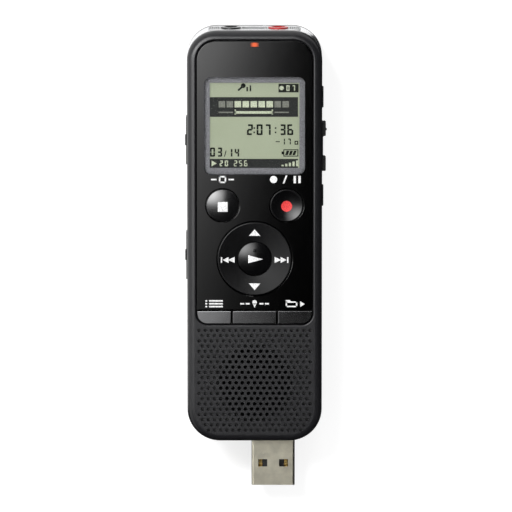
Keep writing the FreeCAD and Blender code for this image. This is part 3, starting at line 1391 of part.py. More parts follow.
def make_battery_door():
    body = new_body("battery_door")
    outline = sketch(body, "outline", "XY_Plane")
    draw_box(outline, ("-door_half", "door_half"), ("hinge_line - door_thick / 2", "door_end"))
    pad(body, outline, "door_thick")
    hinge_end = mm("hinge_line - door_thick / 2")
    knuckle = lambda edge: runs_along(edge, "x") and abs(edge.CenterOfMass.y - hinge_end) < 1e-3
    round_edges(body, "door_thick * 0.49", knuckle)
    bore = sketch(body, "bore", "YZ_Plane", "-door_half - beyond")
    draw_circle(bore, "hinge_line", "door_thick / 2", "hinge_pin + hinge_play")
    pocket(body, bore, "2 * door_half + 2 * beyond", back=True)
    tongue = sketch(body, "tongue", "XY_Plane", "door_thick")
    draw_box(tongue, ("-latch_half", "latch_half"), ("latch_y", "latch_y + latch_thick"))
    pad(body, tongue, "back_wall - door_thick + latch_rise")
    nose = sketch(body, "nose", "XY_Plane", "back_wall + latch_lift")
    draw_box(nose, ("-latch_half", "latch_half"), ("latch_y", "latch_y + latch_thick + latch_bite"))
    pad(body, nose, "latch_rise - latch_lift")
    grip = sketch(body, "grip", "XY_Plane")
    for n in range(4):
        y = f"door_end - grip_y - {n} * grip_pitch"
        reach = f"grip_half - {n} * grip_step"
        draw_box(grip, (f"-({reach})", reach), (f"{y} - grip_width", y))
    pocket(body, grip, "grip_deep", back=True)
    piece("battery_door", body)
    start = ("-door_half - hinge_bite", "hinge_line", "door_thick / 2")
    piece("door_hinge_pin", rod("door_hinge_pin", "X", start, "hinge_pin", "2 * door_half + 2 * hinge_bite"))


# ---------------------------------------------------------------- speaker
def make_speaker():
    y = "foot + speaker_y"
    inside = "speaker_radius - speaker_lip"
    basket = rod("speaker_outside", "Z", ("0", y, "speaker_back"), "speaker_radius", "speaker_deep")
    room = rod("speaker_room", "Z", ("0", y, "speaker_back + basket_floor"), inside, "speaker_deep")
    piece("speaker_basket", cut("speaker_basket", basket, room))
    magnet_z = "speaker_back - magnet_thick"
    piece("speaker_magnet", rod("speaker_magnet", "Z", ("0", y, magnet_z), "magnet_radius", "magnet_thick"))
    gasket_z = "seat_front - gasket_thick"
    ring = rod("gasket_ring", "Z", ("0", y, gasket_z), "speaker_radius", "gasket_thick")
    hole = rod("gasket_hole", "Z", ("0", y, f"{gasket_z} - beyond"), inside, "3 * beyond")
    piece("speaker_gasket", cut("speaker_gasket", ring, hole))
    low, wide = "speaker_back + cone_foot", f"{inside} - cone_play"
    deep = "speaker_deep - cone_foot - cone_drop"
    outer = frustum("cone_outside", ("0", y, low), "cone_throat", wide, deep)
    inner = frustum("cone_inside", ("0", y, f"{low} + cone_thick"), "cone_throat", wide, deep)
    cap = rod("cone_cap", "Z", ("0", y, low), "cap_radius", "cap_thick")
    piece("speaker_cone", join("speaker_cone", cut("cone_shell", outer, inner), cap))


# ---------------------------------------------------------------- jacks and microphones
def make_jacks():
    for name, x in jack_places():
        y_wall = "top - band_wall - jack_play"
        body = block(
            name + "_block",
            (f"{x} - jack_half", f"{x} + jack_half"),
            ("top - jack_length", y_wall),
            ("jack_level - jack_half", "board_level"),
        )
        nose_length = "band_wall + jack_play - jack_ring_deep"
        nose = rod(name + "_nose", "Y", (x, y_wall, "jack_level"), "jack_nose - jack_play", nose_length)
        bore_start = (x, "top - jack_length + jack_floor", "jack_level")
        bore = rod(name + "_bore", "Y", bore_start, "jack_bore", "jack_length")
        piece(name + "_jack", cut(name + "_jack", join(name + "_body", body, nose), bore))
        ring_start = (x, "top - jack_ring_deep", "jack_level")
        ring = rod(name + "_ring_outside", "Y", ring_start, "jack_nose", "jack_ring_deep + jack_ring_rise")
        front = mm("top + jack_ring_rise") - 1e-4
        eased = soften(name + "_ring_eased", ring, "edge_round", lambda edge: edge.BoundBox.YMin > front)
        hole_start = (x, "top - jack_ring_deep - beyond", "jack_level")
        hole = rod(name + "_ring_bore", "Y", hole_start, "jack_bore", "jack_ring_deep + 3 * beyond")
        piece(name + "_ring", cut(name + "_ring", eased, hole))


def make_microphones():
    capsules, boots = [], []
    for n, side in enumerate(("-1", "1")):
        x = f"{side} * mic_x"
        start = (x, "top - band_wall - boot_thick - mic_deep", "jack_level")
        capsules.append(rod(f"capsule_{n}", "Y", start, "mic_radius", "mic_deep"))
        outside = rod(f"boot_outside_{n}", "Y", start, "mic_radius + boot_thick", "mic_deep + boot_thick")
        inside = rod(f"boot_inside_{n}", "Y", start, "mic_radius", "mic_deep")
        hole = rod(f"boot_hole_{n}", "Y", start, "mic_radius / 2", "mic_deep + beyond")
        boots.append(cut(f"boot_{n}", outside, inside, hole))
    piece("microphone_capsules", group("microphone_capsules", capsules))
    piece("microphone_boots", group("microphone_boots", boots))


# ---------------------------------------------------------------- plug that slides out
def make_plug():
    body = new_body("plug_shell")
    outline = sketch(body, "outline", "XZ_Plane", "-(plug_tip)")
    x = ("plug_x - plug_width / 2", "plug_x + plug_width / 2")
    z = ("plug_level - plug_height / 2", "plug_level + plug_height / 2")
    draw_box(outline, x, z, low="plug_corner", high="plug_corner")
    pad(body, outline, "plug_length", back=True)
    inside = sketch(body, "inside", "XZ_Plane", "-(plug_tip)")
    draw_box(
        inside,
        (f"{x[0]} + plug_skin", f"{x[1]} - plug_skin"),
        (f"{z[0]} + plug_skin", f"{z[1]} - plug_skin"),
        low="plug_corner - plug_skin",
        high="plug_corner - plug_skin",
    )
    pocket(body, inside, "plug_length")
    windows = sketch(body, "windows", "XY_Plane", "plug_level + plug_height / 2")
    for side in ("-1", "1"):
        middle = f"plug_x + {side} * plug_window_x"
        draw_box(
            windows,
            (f"{middle} - plug_window / 2", f"{middle} + plug_window / 2"),
            ("plug_tip + plug_window_y", "plug_tip + plug_window_y + plug_window_long"),
        )
    pocket(body, windows, "plug_skin")
    dots = sketch(body, "dots", "XY_Plane", "plug_level + plug_height / 2")
    for side in ("-1", "1"):
        draw_circle(dots, f"plug_x + {side} * plug_window_x", "plug_tip + plug_dot_y + plug_dot", "plug_dot")
    pocket(body, dots, "plug_skin / 2")
    piece("plug_shell", body)

    floor = "plug_level - plug_height / 2 + plug_skin"
    wide = "plug_width / 2 - plug_skin - tongue_play"
    y = ("plug_tip + tongue_setback", "plug_end")
    tongue = block(
        "plug_tongue", (f"plug_x - ({wide})", f"plug_x + {wide}"), y, (floor, f"{floor} + tongue_thick")
    )
    corner_cut = soften("plug_tongue_eased", tongue, "plug_corner - plug_skin", lambda edge: (
        runs_along(edge, "y") and abs(edge.CenterOfMass.z - mm(floor)) < 1e-3
    ))
    piece("plug_tongue", corner_cut)
    outer, inner = "plug_tip + contact_start", "plug_tip + contact_start + contact_step"
    places = (
        ("-contact_outer", outer),
        ("-contact_inner", inner),
        ("contact_inner", inner),
        ("contact_outer", outer),
    )
    strips = [
        block(
            f"plug_contact_{n}",
            (f"plug_x + {offset} - contact_width / 2", f"plug_x + {offset} + contact_width / 2"),
            (start, "plug_end"),
            (f"{floor} + tongue_thick", f"{floor} + tongue_thick + contact_thick"),
        )
        for n, (offset, start) in enumerate(places)
    ]
    piece("plug_contacts", group("plug_contacts", strips))


def make_carriage():
    x = ("plug_x - carriage_half", "plug_x + carriage_half")
    y = ("carriage_foot", "carriage_top")
    outside = block("carriage_block", x, y, ("carriage_low", "carriage_high"))
    socket = block(
        "carriage_socket",
        ("plug_x - plug_width / 2", "plug_x + plug_width / 2"),
        ("carriage_foot - beyond", "plug_end"),
        ("plug_level - plug_height / 2", "plug_level + plug_height / 2"),
    )
    well = block(
        "carriage_well",
        ("plug_x - plug_board_half - plug_board_play", "plug_x + plug_board_half + plug_board_play"),
        ("plug_end", "carriage_top - carriage_end"),
        ("plug_level - plug_board_thick / 2", "carriage_high + beyond"),
    )
    piece("plug_carriage", cut("plug_carriage", outside, socket, well))
    board = block(
        "plug_board",
        ("plug_x - plug_board_half", "plug_x + plug_board_half"),
        ("plug_end", "carriage_top - carriage_end - plug_board_play"),
        ("plug_level - plug_board_thick / 2", "plug_level + plug_board_thick / 2"),
    )
    piece("plug_board", board)

    bracket_top = "carriage_high + carriage_play + bracket_thick"
    span = "carriage_half + carriage_play + bracket_thick"
    bracket_y = ("carriage_foot + carriage_stop", "rail_end")
    rail_top = "seam_level - seam_gap / 2"
    bracket_x = (f"plug_x - ({span})", f"plug_x + {span}")
    over = block("bracket_outside", bracket_x, bracket_y, (rail_top, bracket_top))
    under = block(
        "bracket_inside",
        ("plug_x - carriage_half - carriage_play", "plug_x + carriage_half + carriage_play"),
        ("foot", "rail_end + beyond"),
        ("back_wall", "carriage_high + carriage_play"),
    )
    piece("carriage_bracket", cut("carriage_bracket", over, under))

    y = "foot + lever_y"
    plate_z = ("lever_sunk", "lever_well - lever_sunk")
    plate = block(
        "lever_plate",
        ("plug_x - lever_half", "plug_x + lever_half"),
        (f"{y} - lever_length / 2", f"{y} + lever_length / 2"),
        plate_z,
    )
    middles = [f"{y} + {n} * lever_pitch" for n in range(-2, 3)]
    grooves = [
        block(
            f"lever_groove_{n}",
            ("plug_x - lever_half - beyond", "plug_x + lever_half + beyond"),
            (f"{middle} - lever_groove / 2", f"{middle} + lever_groove / 2"),
            ("0", "lever_sunk + lever_groove_deep"),
        )
        for n, middle in enumerate(middles)
    ]
    stem = block(
        "lever_stem",
        ("plug_x - lever_stem", "plug_x + lever_stem"),
        (f"{y} - lever_stem", f"{y} + lever_stem"),
        ("lever_well - 2 * lever_sunk", "carriage_low"),
    )
    piece("plug_lever", join("plug_lever", cut("lever_grip", plate, *grooves), stem))


# ---------------------------------------------------------------- fasteners
RECESS_REACH, RECESS_HALF = 0.6, 0.14  # arms of a cross recess, as parts of the head's radius


def screw(name, x, y, head_level, head_radius, head_thick, radius, length):
    """A screw that points along +Z, with a cross recess in its head."""
    head = rod(name + "_head", "Z", (x, y, f"{head_level} - {head_thick}"), head_radius, head_thick)
    shank = rod(name + "_shank", "Z", (x, y, head_level), radius, length)
    slots = [
        block(
            f"{name}_slot_{n}",
            (f"{x} - {a} * {head_radius}", f"{x} + {a} * {head_radius}"),
            (f"{y} - {b} * {head_radius}", f"{y} + {b} * {head_radius}"),
            (f"{head_level} - {head_thick} - beyond", f"{head_level} - {head_thick} / 2"),
        )
        for n, (a, b) in enumerate(((RECESS_REACH, RECESS_HALF), (RECESS_HALF, RECESS_REACH)))
    ]
    return cut(name, join(name + "_blank", head, shank), *slots)


def make_screws():
    sizes = ("screw_well", "screw_head", "screw_head_thick", "screw_radius", "screw_length")
    case = [screw(f"case_screw_{n}", x, y, *sizes) for n, (x, y) in enumerate(CASE_SCREWS)]
    piece("case_screws", group("case_screws", case))
    length = "base_level - board_level - board_screw_end"
    sizes = ("board_level", "board_screw_head", "board_screw_head_thick", "board_screw_radius", length)
    board = [screw(f"board_screw_{n}", x, y, *sizes) for n, (x, y) in enumerate(BOARD_SCREWS)]
    piece("board_screws", group("board_screws", board))


# ---------------------------------------------------------------- build, check and export
for make in (
    make_front_housing, make_rear_housing, make_top_band, make_jack_plate, make_front_panel, make_display,
    make_boards, make_round_keys, make_navigation, make_row_keys, make_switches, make_lamp, make_sliders,
    make_side_buttons, make_volume_rocker, make_side_switches, make_tray, make_cells, make_contacts,
    make_battery_door, make_speaker, make_jacks, make_microphones, make_plug, make_carriage, make_screws,
):
    make()
doc.recompute()

for thing in doc.Objects:
    wrong = [state for state in thing.State if state in ("Invalid", "Error")]
    if wrong:
        raise RuntimeError(f"{thing.Label} is {wrong[0].lower()}")
for name, thing in PIECES.items():
    if thing.Shape.isNull() or not thing.Shape.isValid() or not thing.Shape.Solids:
        raise RuntimeError(f"{name} has no valid solid")

os.makedirs("parts", exist_ok=True)
for name, thing in PIECES.items():
    thing.Shape.exportStep(f"parts/{name}.step")
    print(f"{name}: {thing.Shape.Volume:.1f} mm3, {len(thing.Shape.Solids)} solid(s)")
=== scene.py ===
# %% [markdown]
# # A pocket voice recorder, dressed for its portrait
#
# The recorder lies on its back with its computer plug slid out.  Its solid parts arrive ready-made
# at their real size.  This lesson gives every part its finish, prints the marks on the keys, draws
# the display, and sets up the floor, the light and the camera.  Lengths are metres unless a name
# ends in `_mm`, and `mm` turns millimetres into metres.

import math

import bmesh
import bpy
import numpy as np
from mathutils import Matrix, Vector


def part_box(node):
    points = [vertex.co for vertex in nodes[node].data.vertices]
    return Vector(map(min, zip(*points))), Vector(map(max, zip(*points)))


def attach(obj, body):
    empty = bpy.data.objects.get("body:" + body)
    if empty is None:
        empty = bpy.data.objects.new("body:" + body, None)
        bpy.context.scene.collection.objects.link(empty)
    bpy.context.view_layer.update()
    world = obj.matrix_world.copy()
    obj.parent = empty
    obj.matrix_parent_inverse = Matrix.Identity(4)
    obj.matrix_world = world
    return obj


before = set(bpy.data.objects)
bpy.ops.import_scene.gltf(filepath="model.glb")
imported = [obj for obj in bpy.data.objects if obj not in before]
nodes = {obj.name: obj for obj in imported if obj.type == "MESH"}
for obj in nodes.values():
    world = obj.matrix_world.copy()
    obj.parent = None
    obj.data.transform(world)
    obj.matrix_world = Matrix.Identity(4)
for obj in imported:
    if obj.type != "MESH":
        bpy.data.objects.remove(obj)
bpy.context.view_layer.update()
mm = 0.001

# %% [markdown]
# ## Shading helpers
#
# Every finish is a small graph of nodes around one Principled shader.  The graph could be drawn by
# hand in the shader editor; here a few helpers wire it, so that each finish stays a handful of
# lines.  Patterns read Object coordinates, which are real millimetres on these parts because each
# object sits at the origin with its place in its mesh.


# %% A finish and its nodes
class Finish:
    """A material with a Principled shader, and helpers that wire procedural patterns into it."""

    def __init__(self, name, colour, roughness, metallic=0.0, **sockets):
        self.material = bpy.data.materials.new(name)
        self.material.use_nodes = True
        self.tree = self.material.node_tree
        self.shader = self.tree.nodes["Principled BSDF"]
        self.place = self.tree.nodes.new("ShaderNodeTexCoord").outputs["Object"]
        self.set(**{"Base Color": (*colour, 1.0), "Roughness": roughness, "Metallic": metallic}, **sockets)

    def set(self, **sockets):
        """Sets constants on the shader's own sockets."""
        for name, value in sockets.items():
            self.shader.inputs[name].default_value = value

    def link(self, source, target):
        self.tree.links.new(source, self.shader.inputs[target] if isinstance(target, str) else target)

    def stretched(self, x, y, z):
        """Object coordinates in millimetres, stretched along each axis."""
        mapping = self.tree.nodes.new("ShaderNodeMapping")
        mapping.inputs["Scale"].default_value = (x / mm, y / mm, z / mm)
        self.link(self.place, mapping.inputs["Vector"])
        return mapping.outputs["Vector"]

    def noise(self, per_mm, detail=2.0, along=(1.0, 1.0, 1.0)):
        """Cloudy noise with so many features to a millimetre."""
        node = self.tree.nodes.new("ShaderNodeTexNoise")
        node.inputs["Scale"].default_value = per_mm
        node.inputs["Detail"].default_value = detail
        self.link(self.stretched(*along), node.inputs["Vector"])
        return node.outputs["Fac"]

    def cells(self, per_mm):
        """Pebbled cells, for moulded grain."""
        node = self.tree.nodes.new("ShaderNodeTexVoronoi")
        node.feature = "SMOOTH_F1"
        node.inputs["Scale"].default_value = per_mm
        self.link(self.stretched(1, 1, 1), node.inputs["Vector"])
        return node.outputs["Distance"]

    def ramp(self, fac, low, high, start=0.3, end=0.7):
        """A pattern mapped to a colour between low and high."""
        node = self.tree.nodes.new("ShaderNodeValToRGB")
        node.color_ramp.elements[0].position = start
        node.color_ramp.elements[1].position = end
        node.color_ramp.elements[0].color = (*low, 1.0)
        node.color_ramp.elements[1].color = (*high, 1.0)
        self.link(fac, node.inputs["Fac"])
        return node.outputs["Color"]

    def between(self, fac, low, high):
        """A pattern mapped to a number between low and high."""
        node = self.tree.nodes.new("ShaderNodeMapRange")
        node.inputs["To Min"].default_value = low
        node.inputs["To Max"].default_value = high
        self.link(fac, node.inputs["Value"])
        return node.outputs["Result"]

    def distance(self, middle):
        """How far each point of the surface is from a place."""
        node = self.tree.nodes.new("ShaderNodeVectorMath")
        node.operation = "DISTANCE"
        node.inputs[1].default_value = middle
        self.link(self.place, node.inputs[0])
        return node.outputs["Value"]

    def fade(self, value, near, far, high, low=0.0):
        """A number that falls smoothly from high to low while a value goes from near to far."""
        node = self.tree.nodes.new("ShaderNodeMapRange")
        node.interpolation_type = "SMOOTHSTEP"
        for name, number in {"From Min": near, "From Max": far, "To Min": high, "To Max": low}.items():
            node.inputs[name].default_value = number
        self.link(value, node.inputs["Value"])
        return node.outputs["Result"]

    def bump(self, height, depth_mm, strength=1.0):
        """Raises the surface where the pattern is bright."""
        node = self.tree.nodes.new("ShaderNodeBump")
        node.inputs["Strength"].default_value = strength
        node.inputs["Distance"].default_value = depth_mm * mm
        self.link(height, node.inputs["Height"])
        self.link(node.outputs["Normal"], "Normal")


def compute(tree, operation, first, second=0.0, clamp=False):
    """One step of arithmetic in a node tree; each input is a socket or a number."""
    node = tree.nodes.new("ShaderNodeMath")
    node.operation, node.use_clamp = operation, clamp
    for socket, value in zip(node.inputs, (first, second)):
        if isinstance(value, bpy.types.NodeSocket):
            tree.links.new(value, socket)
        else:
            socket.default_value = value
    return node.outputs[0]


def shade(colour, factor):
    """A colour made darker or lighter."""
    return tuple(min(1.0, channel * factor) for channel in colour)


print("finish helpers ready")

# %% [markdown]
# ## Moulded plastics
#
# The housings are a fine spark-eroded grain on black polycarbonate: dull, with tiny bright specks.
# The panel and the keys come out of a polished mould, so they mirror the room, and only a faint
# waviness and the odd rub mark tell them from glass.  One function serves each family, and every
# colour varies a little over the part.
#
# Two helpers work on a finished material, and both paint shade into its colour.  The colour of the small
# keys in the row falls off with the slope of the face, a painted shade that keeps their edges dark.  The
# bottoms of the grille's blind holes are painted black, a painted shade in the hollows, and made rough, so
# their depth can be read from above.


# %% Plastic finishes
def grained(name, colour, roughness, grain_per_mm=5.0, depth_mm=0.03, **sockets):
    """Moulded plastic with an even grain, in colour, gloss and relief."""
    finish = Finish(name, colour, roughness)
    finish.set(**sockets)
    grain = finish.noise(grain_per_mm, detail=3.0)
    finish.link(finish.ramp(grain, shade(colour, 0.72), shade(colour, 1.4), 0.35, 0.68), "Base Color")
    finish.link(finish.between(finish.noise(0.4), roughness - 0.06, roughness + 0.08), "Roughness")
    finish.bump(grain, depth_mm, 0.5)
    return finish.material


def polished(name, colour, roughness, wave_mm=0.004, **sockets):
    """Polished plastic: a mirror with a slow waviness and faint rub marks."""
    finish = Finish(name, colour, roughness)
    finish.set(**sockets)
    finish.link(finish.ramp(finish.noise(0.15), shade(colour, 0.9), shade(colour, 1.15)), "Base Color")
    rub = finish.noise(0.7, detail=4.0, along=(1.0, 0.3, 1.0))
    finish.link(finish.between(rub, roughness * 0.8, roughness * 1.3), "Roughness")
    finish.bump(finish.noise(0.12), wave_mm, 0.3)
    return finish.material


def multiply_colour(material, factor):
    """Multiplies a finished material's colour by a number that varies over the surface."""
    tree = material.node_tree
    shader = tree.nodes["Principled BSDF"]
    mix = tree.nodes.new("ShaderNodeMix")
    mix.data_type, mix.blend_type = "RGBA", "MULTIPLY"
    mix.inputs["Factor"].default_value = 1.0
    tree.links.new(shader.inputs["Base Color"].links[0].from_socket, mix.inputs["A"])
    tree.links.new(factor, mix.inputs["B"])
    tree.links.new(mix.outputs["Result"], shader.inputs["Base Color"])


def heights(tree, output):
    """The Z of the place ("Object") or of the face's direction ("Normal") at each point."""
    split = tree.nodes.new("ShaderNodeSeparateXYZ")
    tree.links.new(tree.nodes.new("ShaderNodeTexCoord").outputs[output], split.inputs["Vector"])
    return split.outputs["Z"]


def shade_by_slope(material, power):
    """Painted shade: darkens a colour by the upward part of the face's direction to a power, so edges stay
    dark.
    """
    tree = material.node_tree
    multiply_colour(material, compute(tree, "POWER", heights(tree, "Normal"), power, clamp=True))
    return material


def shade_hole_floors(material, below):
    """Painted shade: black colour and more roughness wherever a level face lies lower than a height, as at
    the bottom of a blind hole.
    """
    tree = material.node_tree
    level = compute(tree, "GREATER_THAN", heights(tree, "Normal"), 0.98)
    hole_shade = compute(tree, "MULTIPLY", level, compute(tree, "LESS_THAN", heights(tree, "Object"), below))
    multiply_colour(material, compute(tree, "SUBTRACT", 1.0, hole_shade))
    roughness = tree.nodes["Principled BSDF"].inputs["Roughness"]
    dull = compute(tree, "MULTIPLY", hole_shade, 0.7)
    rougher = compute(tree, "MAXIMUM", roughness.links[0].from_socket, dull)
    tree.links.new(rougher, roughness)
    return material


housing_plastic = ((0.0085, 0.0085, 0.0098), 0.32, 5.5, 0.035)
case_black = grained("case_black", *housing_plastic)
front_black = grained("front_black", *housing_plastic)
# painted shade: the bottoms of the grille's blind holes are coloured black
shade_hole_floors(front_black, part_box("front_housing")[1].z - 0.3 * mm)
inner_black = grained("inner_black", (0.02, 0.02, 0.021), 0.5, 3.0, 0.02)
piano_black = polished("piano_black", (0.0004, 0.0004, 0.0005), 0.08)
key_black = polished("key_black", (0.002, 0.002, 0.0023), 0.19, **{"Specular IOR Level": 0.36})
stop_black = polished("stop_black", (0.003, 0.003, 0.0034), 0.2, **{"Specular IOR Level": 0.95})
# painted shade: the row keys' colour darkens where their faces slope away from the top
key_graphite = shade_by_slope(polished("key_graphite", (0.45, 0.45, 0.46), 0.10, Metallic=1.0), 10.0)
white_resin = grained("white_resin", (0.70, 0.70, 0.68), 0.45, 2.0, 0.01)
print("plastics:", case_black.name, piano_black.name, key_graphite.name)

# %% [markdown]
# ## Metals
#
# The band is bright metallic paint, so it has flakes rather than scratches.  The plug's shell is
# rolled and plated steel: rolling leaves streaks that run along the strip, and handling leaves
# soft clouds.  Stretching the noise along one axis is the simplest way to draw rolled streaks.


# %% Metal finishes
def flaked(name, colour, roughness):
    """Metallic paint: flakes that vary in tone under a smooth coat."""
    finish = Finish(name, colour, roughness, metallic=0.85)
    finish.set(**{"Coat Weight": 0.4, "Coat Roughness": 0.12})
    flakes = finish.cells(9.0)
    finish.link(finish.ramp(flakes, shade(colour, 0.86), shade(colour, 1.08), 0.1, 0.8), "Base Color")
    finish.link(finish.between(finish.noise(1.2), roughness - 0.05, roughness + 0.07), "Roughness")
    finish.bump(flakes, 0.002, 0.12)
    return finish.material


def rolled(name, colour, roughness, along=(1.0, 0.06, 1.0), streaks_per_mm=7.0):
    """Sheet metal with rolled streaks along one axis, and soft clouds from handling."""
    finish = Finish(name, colour, roughness, metallic=1.0)
    streaks = finish.noise(streaks_per_mm, detail=4.0, along=along)
    finish.link(finish.ramp(finish.noise(0.35, 3.0), shade(colour, 0.84), shade(colour, 1.1)), "Base Color")
    finish.link(finish.between(streaks, roughness - 0.08, roughness + 0.14), "Roughness")
    finish.bump(streaks, 0.004, 0.5)
    return finish.material


band_silver = flaked("band_silver", (0.74, 0.75, 0.77), 0.26)
# painted shade: the jack plate has the band's metallic paint made much darker
plate_shaded_silver = flaked("plate_shaded_silver", (0.27, 0.275, 0.28), 0.34)
plug_steel = rolled("plug_steel", (0.66, 0.627, 0.51), 0.36)
contact_steel = rolled("contact_steel", (0.66, 0.65, 0.62), 0.28, along=(0.1, 1.0, 1.0))
screw_black = rolled("screw_black", (0.09, 0.09, 0.095), 0.35, along=(1.0, 1.0, 0.2))
gold = rolled("gold", (0.78, 0.55, 0.20), 0.22)
print("metals:", band_silver.name, plug_steel.name)

# %% [markdown]
# ## The display's materials
#
# A reflective liquid crystal display is a grey-green mirror under a polariser: flat and even, a
# little brighter in the middle, with a very fine pixel grid.  The digits are dark pixels, and the
# two bars are dark areas with light pixels in them.  The clear window over it is a real sheet with
# a hard gloss, made see-through with Alpha so that the display keeps its own brightness.


# %% Display finishes
def liquid_crystal(name, colour):
    """Grey-green display ground with soft clouds and a grid of pixels."""
    finish = Finish(name, colour, 0.42)
    finish.set(**{"Specular IOR Level": 0.2})
    pixels = finish.tree.nodes.new("ShaderNodeTexBrick")
    pixels.offset = 0.0
    pixels.inputs["Scale"].default_value = 1.0
    pixels.inputs["Mortar Size"].default_value = 0.02
    pixels.inputs["Brick Width"].default_value = 0.26
    pixels.inputs["Row Height"].default_value = 0.26
    pixels.inputs["Color1"].default_value = (*shade(colour, 1.02), 1)
    pixels.inputs["Color2"].default_value = (*shade(colour, 0.98), 1)
    pixels.inputs["Mortar"].default_value = (*shade(colour, 0.9), 1)
    finish.link(finish.stretched(1, 1, 1), pixels.inputs["Vector"])
    clouds = finish.tree.nodes.new("ShaderNodeMix")
    clouds.data_type, clouds.blend_type = "RGBA", "MULTIPLY"
    clouds.inputs["Factor"].default_value = 0.6
    finish.link(pixels.outputs["Color"], clouds.inputs["A"])
    finish.link(finish.ramp(finish.noise(0.08), (0.86, 0.88, 0.84), (1.0, 1.0, 1.0)), clouds.inputs["B"])
    finish.link(clouds.outputs["Result"], "Base Color")
    finish.link(finish.between(finish.noise(2.0), 0.36, 0.5), "Roughness")
    return finish.material


def clear_sheet(name, tint, alpha, gloss, roughness=0.03):
    """A clear polished sheet: mostly see-through, with the gloss of its coated surface."""
    finish = Finish(name, tint, roughness, Alpha=alpha)
    finish.set(**{"Specular IOR Level": gloss})
    finish.link(finish.between(finish.noise(0.5, 4.0), roughness * 0.7, roughness * 1.6), "Roughness")
    finish.bump(finish.noise(0.1), 0.003, 0.2)
    finish.material.surface_render_method = "BLENDED"
    return finish.material


screen_green = liquid_crystal("screen_green", (0.412, 0.458, 0.330))
UNDER_FILM = {"Specular IOR Level": 0.15}  # the polariser over the pixels takes most of their shine
pixel_dark = grained("pixel_dark", (0.006, 0.008, 0.006), 0.5, 4.0, 0.002, **UNDER_FILM)
pixel_band = grained("pixel_band", (0.021, 0.023, 0.022), 0.5, 4.0, 0.002, **UNDER_FILM)
pixel_light = grained("pixel_light", (0.54, 0.59, 0.44), 0.45, 4.0, 0.002, **UNDER_FILM)
pixel_mid = grained("pixel_mid", (0.19, 0.20, 0.17), 0.45, 4.0, 0.002, **UNDER_FILM)
frame_grey = grained("frame_grey", (0.165, 0.167, 0.180), 0.4, 5.0, 0.008)
clear_window = clear_sheet("clear_window", (0.02, 0.02, 0.02), 0.06, 0.12)
print("display:", screen_green.name, clear_window.name)

# %% [markdown]
# ## Inks, lamps, boards and soft parts
#
# The marks on the keys are pad printed: slightly raised, satin, and not quite even.  The indicator
# is a tinted lens over a lit lamp, so it gets a little emission.  Inside are the circuit boards
# under green solder mask, grey silicone, black foam, and the plain sleeves of the cells.


# %% Small finishes
def ink(name, colour):
    """Pad-printed ink with a slightly uneven film."""
    return grained(name, colour, 0.4, 3.0, 0.003)


def lit_lens(name, colour, glow, middle, reach):
    """Tinted plastic with a lamp behind its middle, dark towards its ends."""
    finish = Finish(name, colour, 0.22)
    spot = finish.fade(finish.distance(middle), 0.25 * reach, reach, glow)
    finish.link(spot, "Emission Strength")
    finish.set(**{"Emission Color": (*colour, 1.0)})
    patches = finish.ramp(finish.noise(0.9), shade(colour, 0.08), shade(colour, 0.16))
    finish.link(patches, "Base Color")
    finish.bump(finish.noise(1.5), 0.01, 0.4)
    return finish.material


def solder_mask(name, colour):
    """Green lacquer over copper tracks that run straight along the board."""
    finish = Finish(name, colour, 0.3)
    tracks = finish.tree.nodes.new("ShaderNodeTexBrick")
    tracks.inputs["Scale"].default_value = 1.0
    tracks.inputs["Mortar Size"].default_value = 0.12
    tracks.inputs["Brick Width"].default_value = 3.4
    tracks.inputs["Row Height"].default_value = 1.1
    tracks.inputs["Color1"].default_value = (*colour, 1)
    tracks.inputs["Color2"].default_value = (*shade(colour, 1.15), 1)
    tracks.inputs["Mortar"].default_value = (*shade(colour, 1.8), 1)
    finish.link(finish.stretched(1, 1, 1), tracks.inputs["Vector"])
    finish.link(tracks.outputs["Color"], "Base Color")
    finish.bump(tracks.outputs["Fac"], 0.02, 0.6)
    finish.link(finish.between(finish.noise(1.0), 0.24, 0.4), "Roughness")
    return finish.material


ink_white = ink("ink_white", (0.80, 0.80, 0.80))
ink_red = ink("ink_red", (0.62, 0.035, 0.035))
lens_low, lens_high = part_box("indicator_lens")
lens_top = ((lens_low.x + lens_high.x) / 2, (lens_low.y + lens_high.y) / 2, lens_high.z)
amber_lens = lit_lens("amber_lens", (0.85, 0.105, 0.012), 0.85, lens_top, 1.2 * mm)
board_green = solder_mask("board_green", (0.012, 0.11, 0.05))
silicone = grained("silicone", (0.35, 0.35, 0.35), 0.6, 2.0, 0.02)
foam_black = grained("foam_black", (0.02, 0.02, 0.02), 0.9, 3.5, 0.12)
speaker_film = grained("speaker_film", (0.006, 0.006, 0.006), 0.85, 3.0, 0.01, **{"Specular IOR Level": 0.1})
cell_sleeve = flaked("cell_sleeve", (0.16, 0.18, 0.22), 0.3)
ring_black = polished("ring_black", (0.008, 0.008, 0.008), 0.2)
ring_red = polished("ring_red", (0.42, 0.02, 0.02), 0.25)
print("small finishes:", ink_white.name, amber_lens.name, board_green.name)
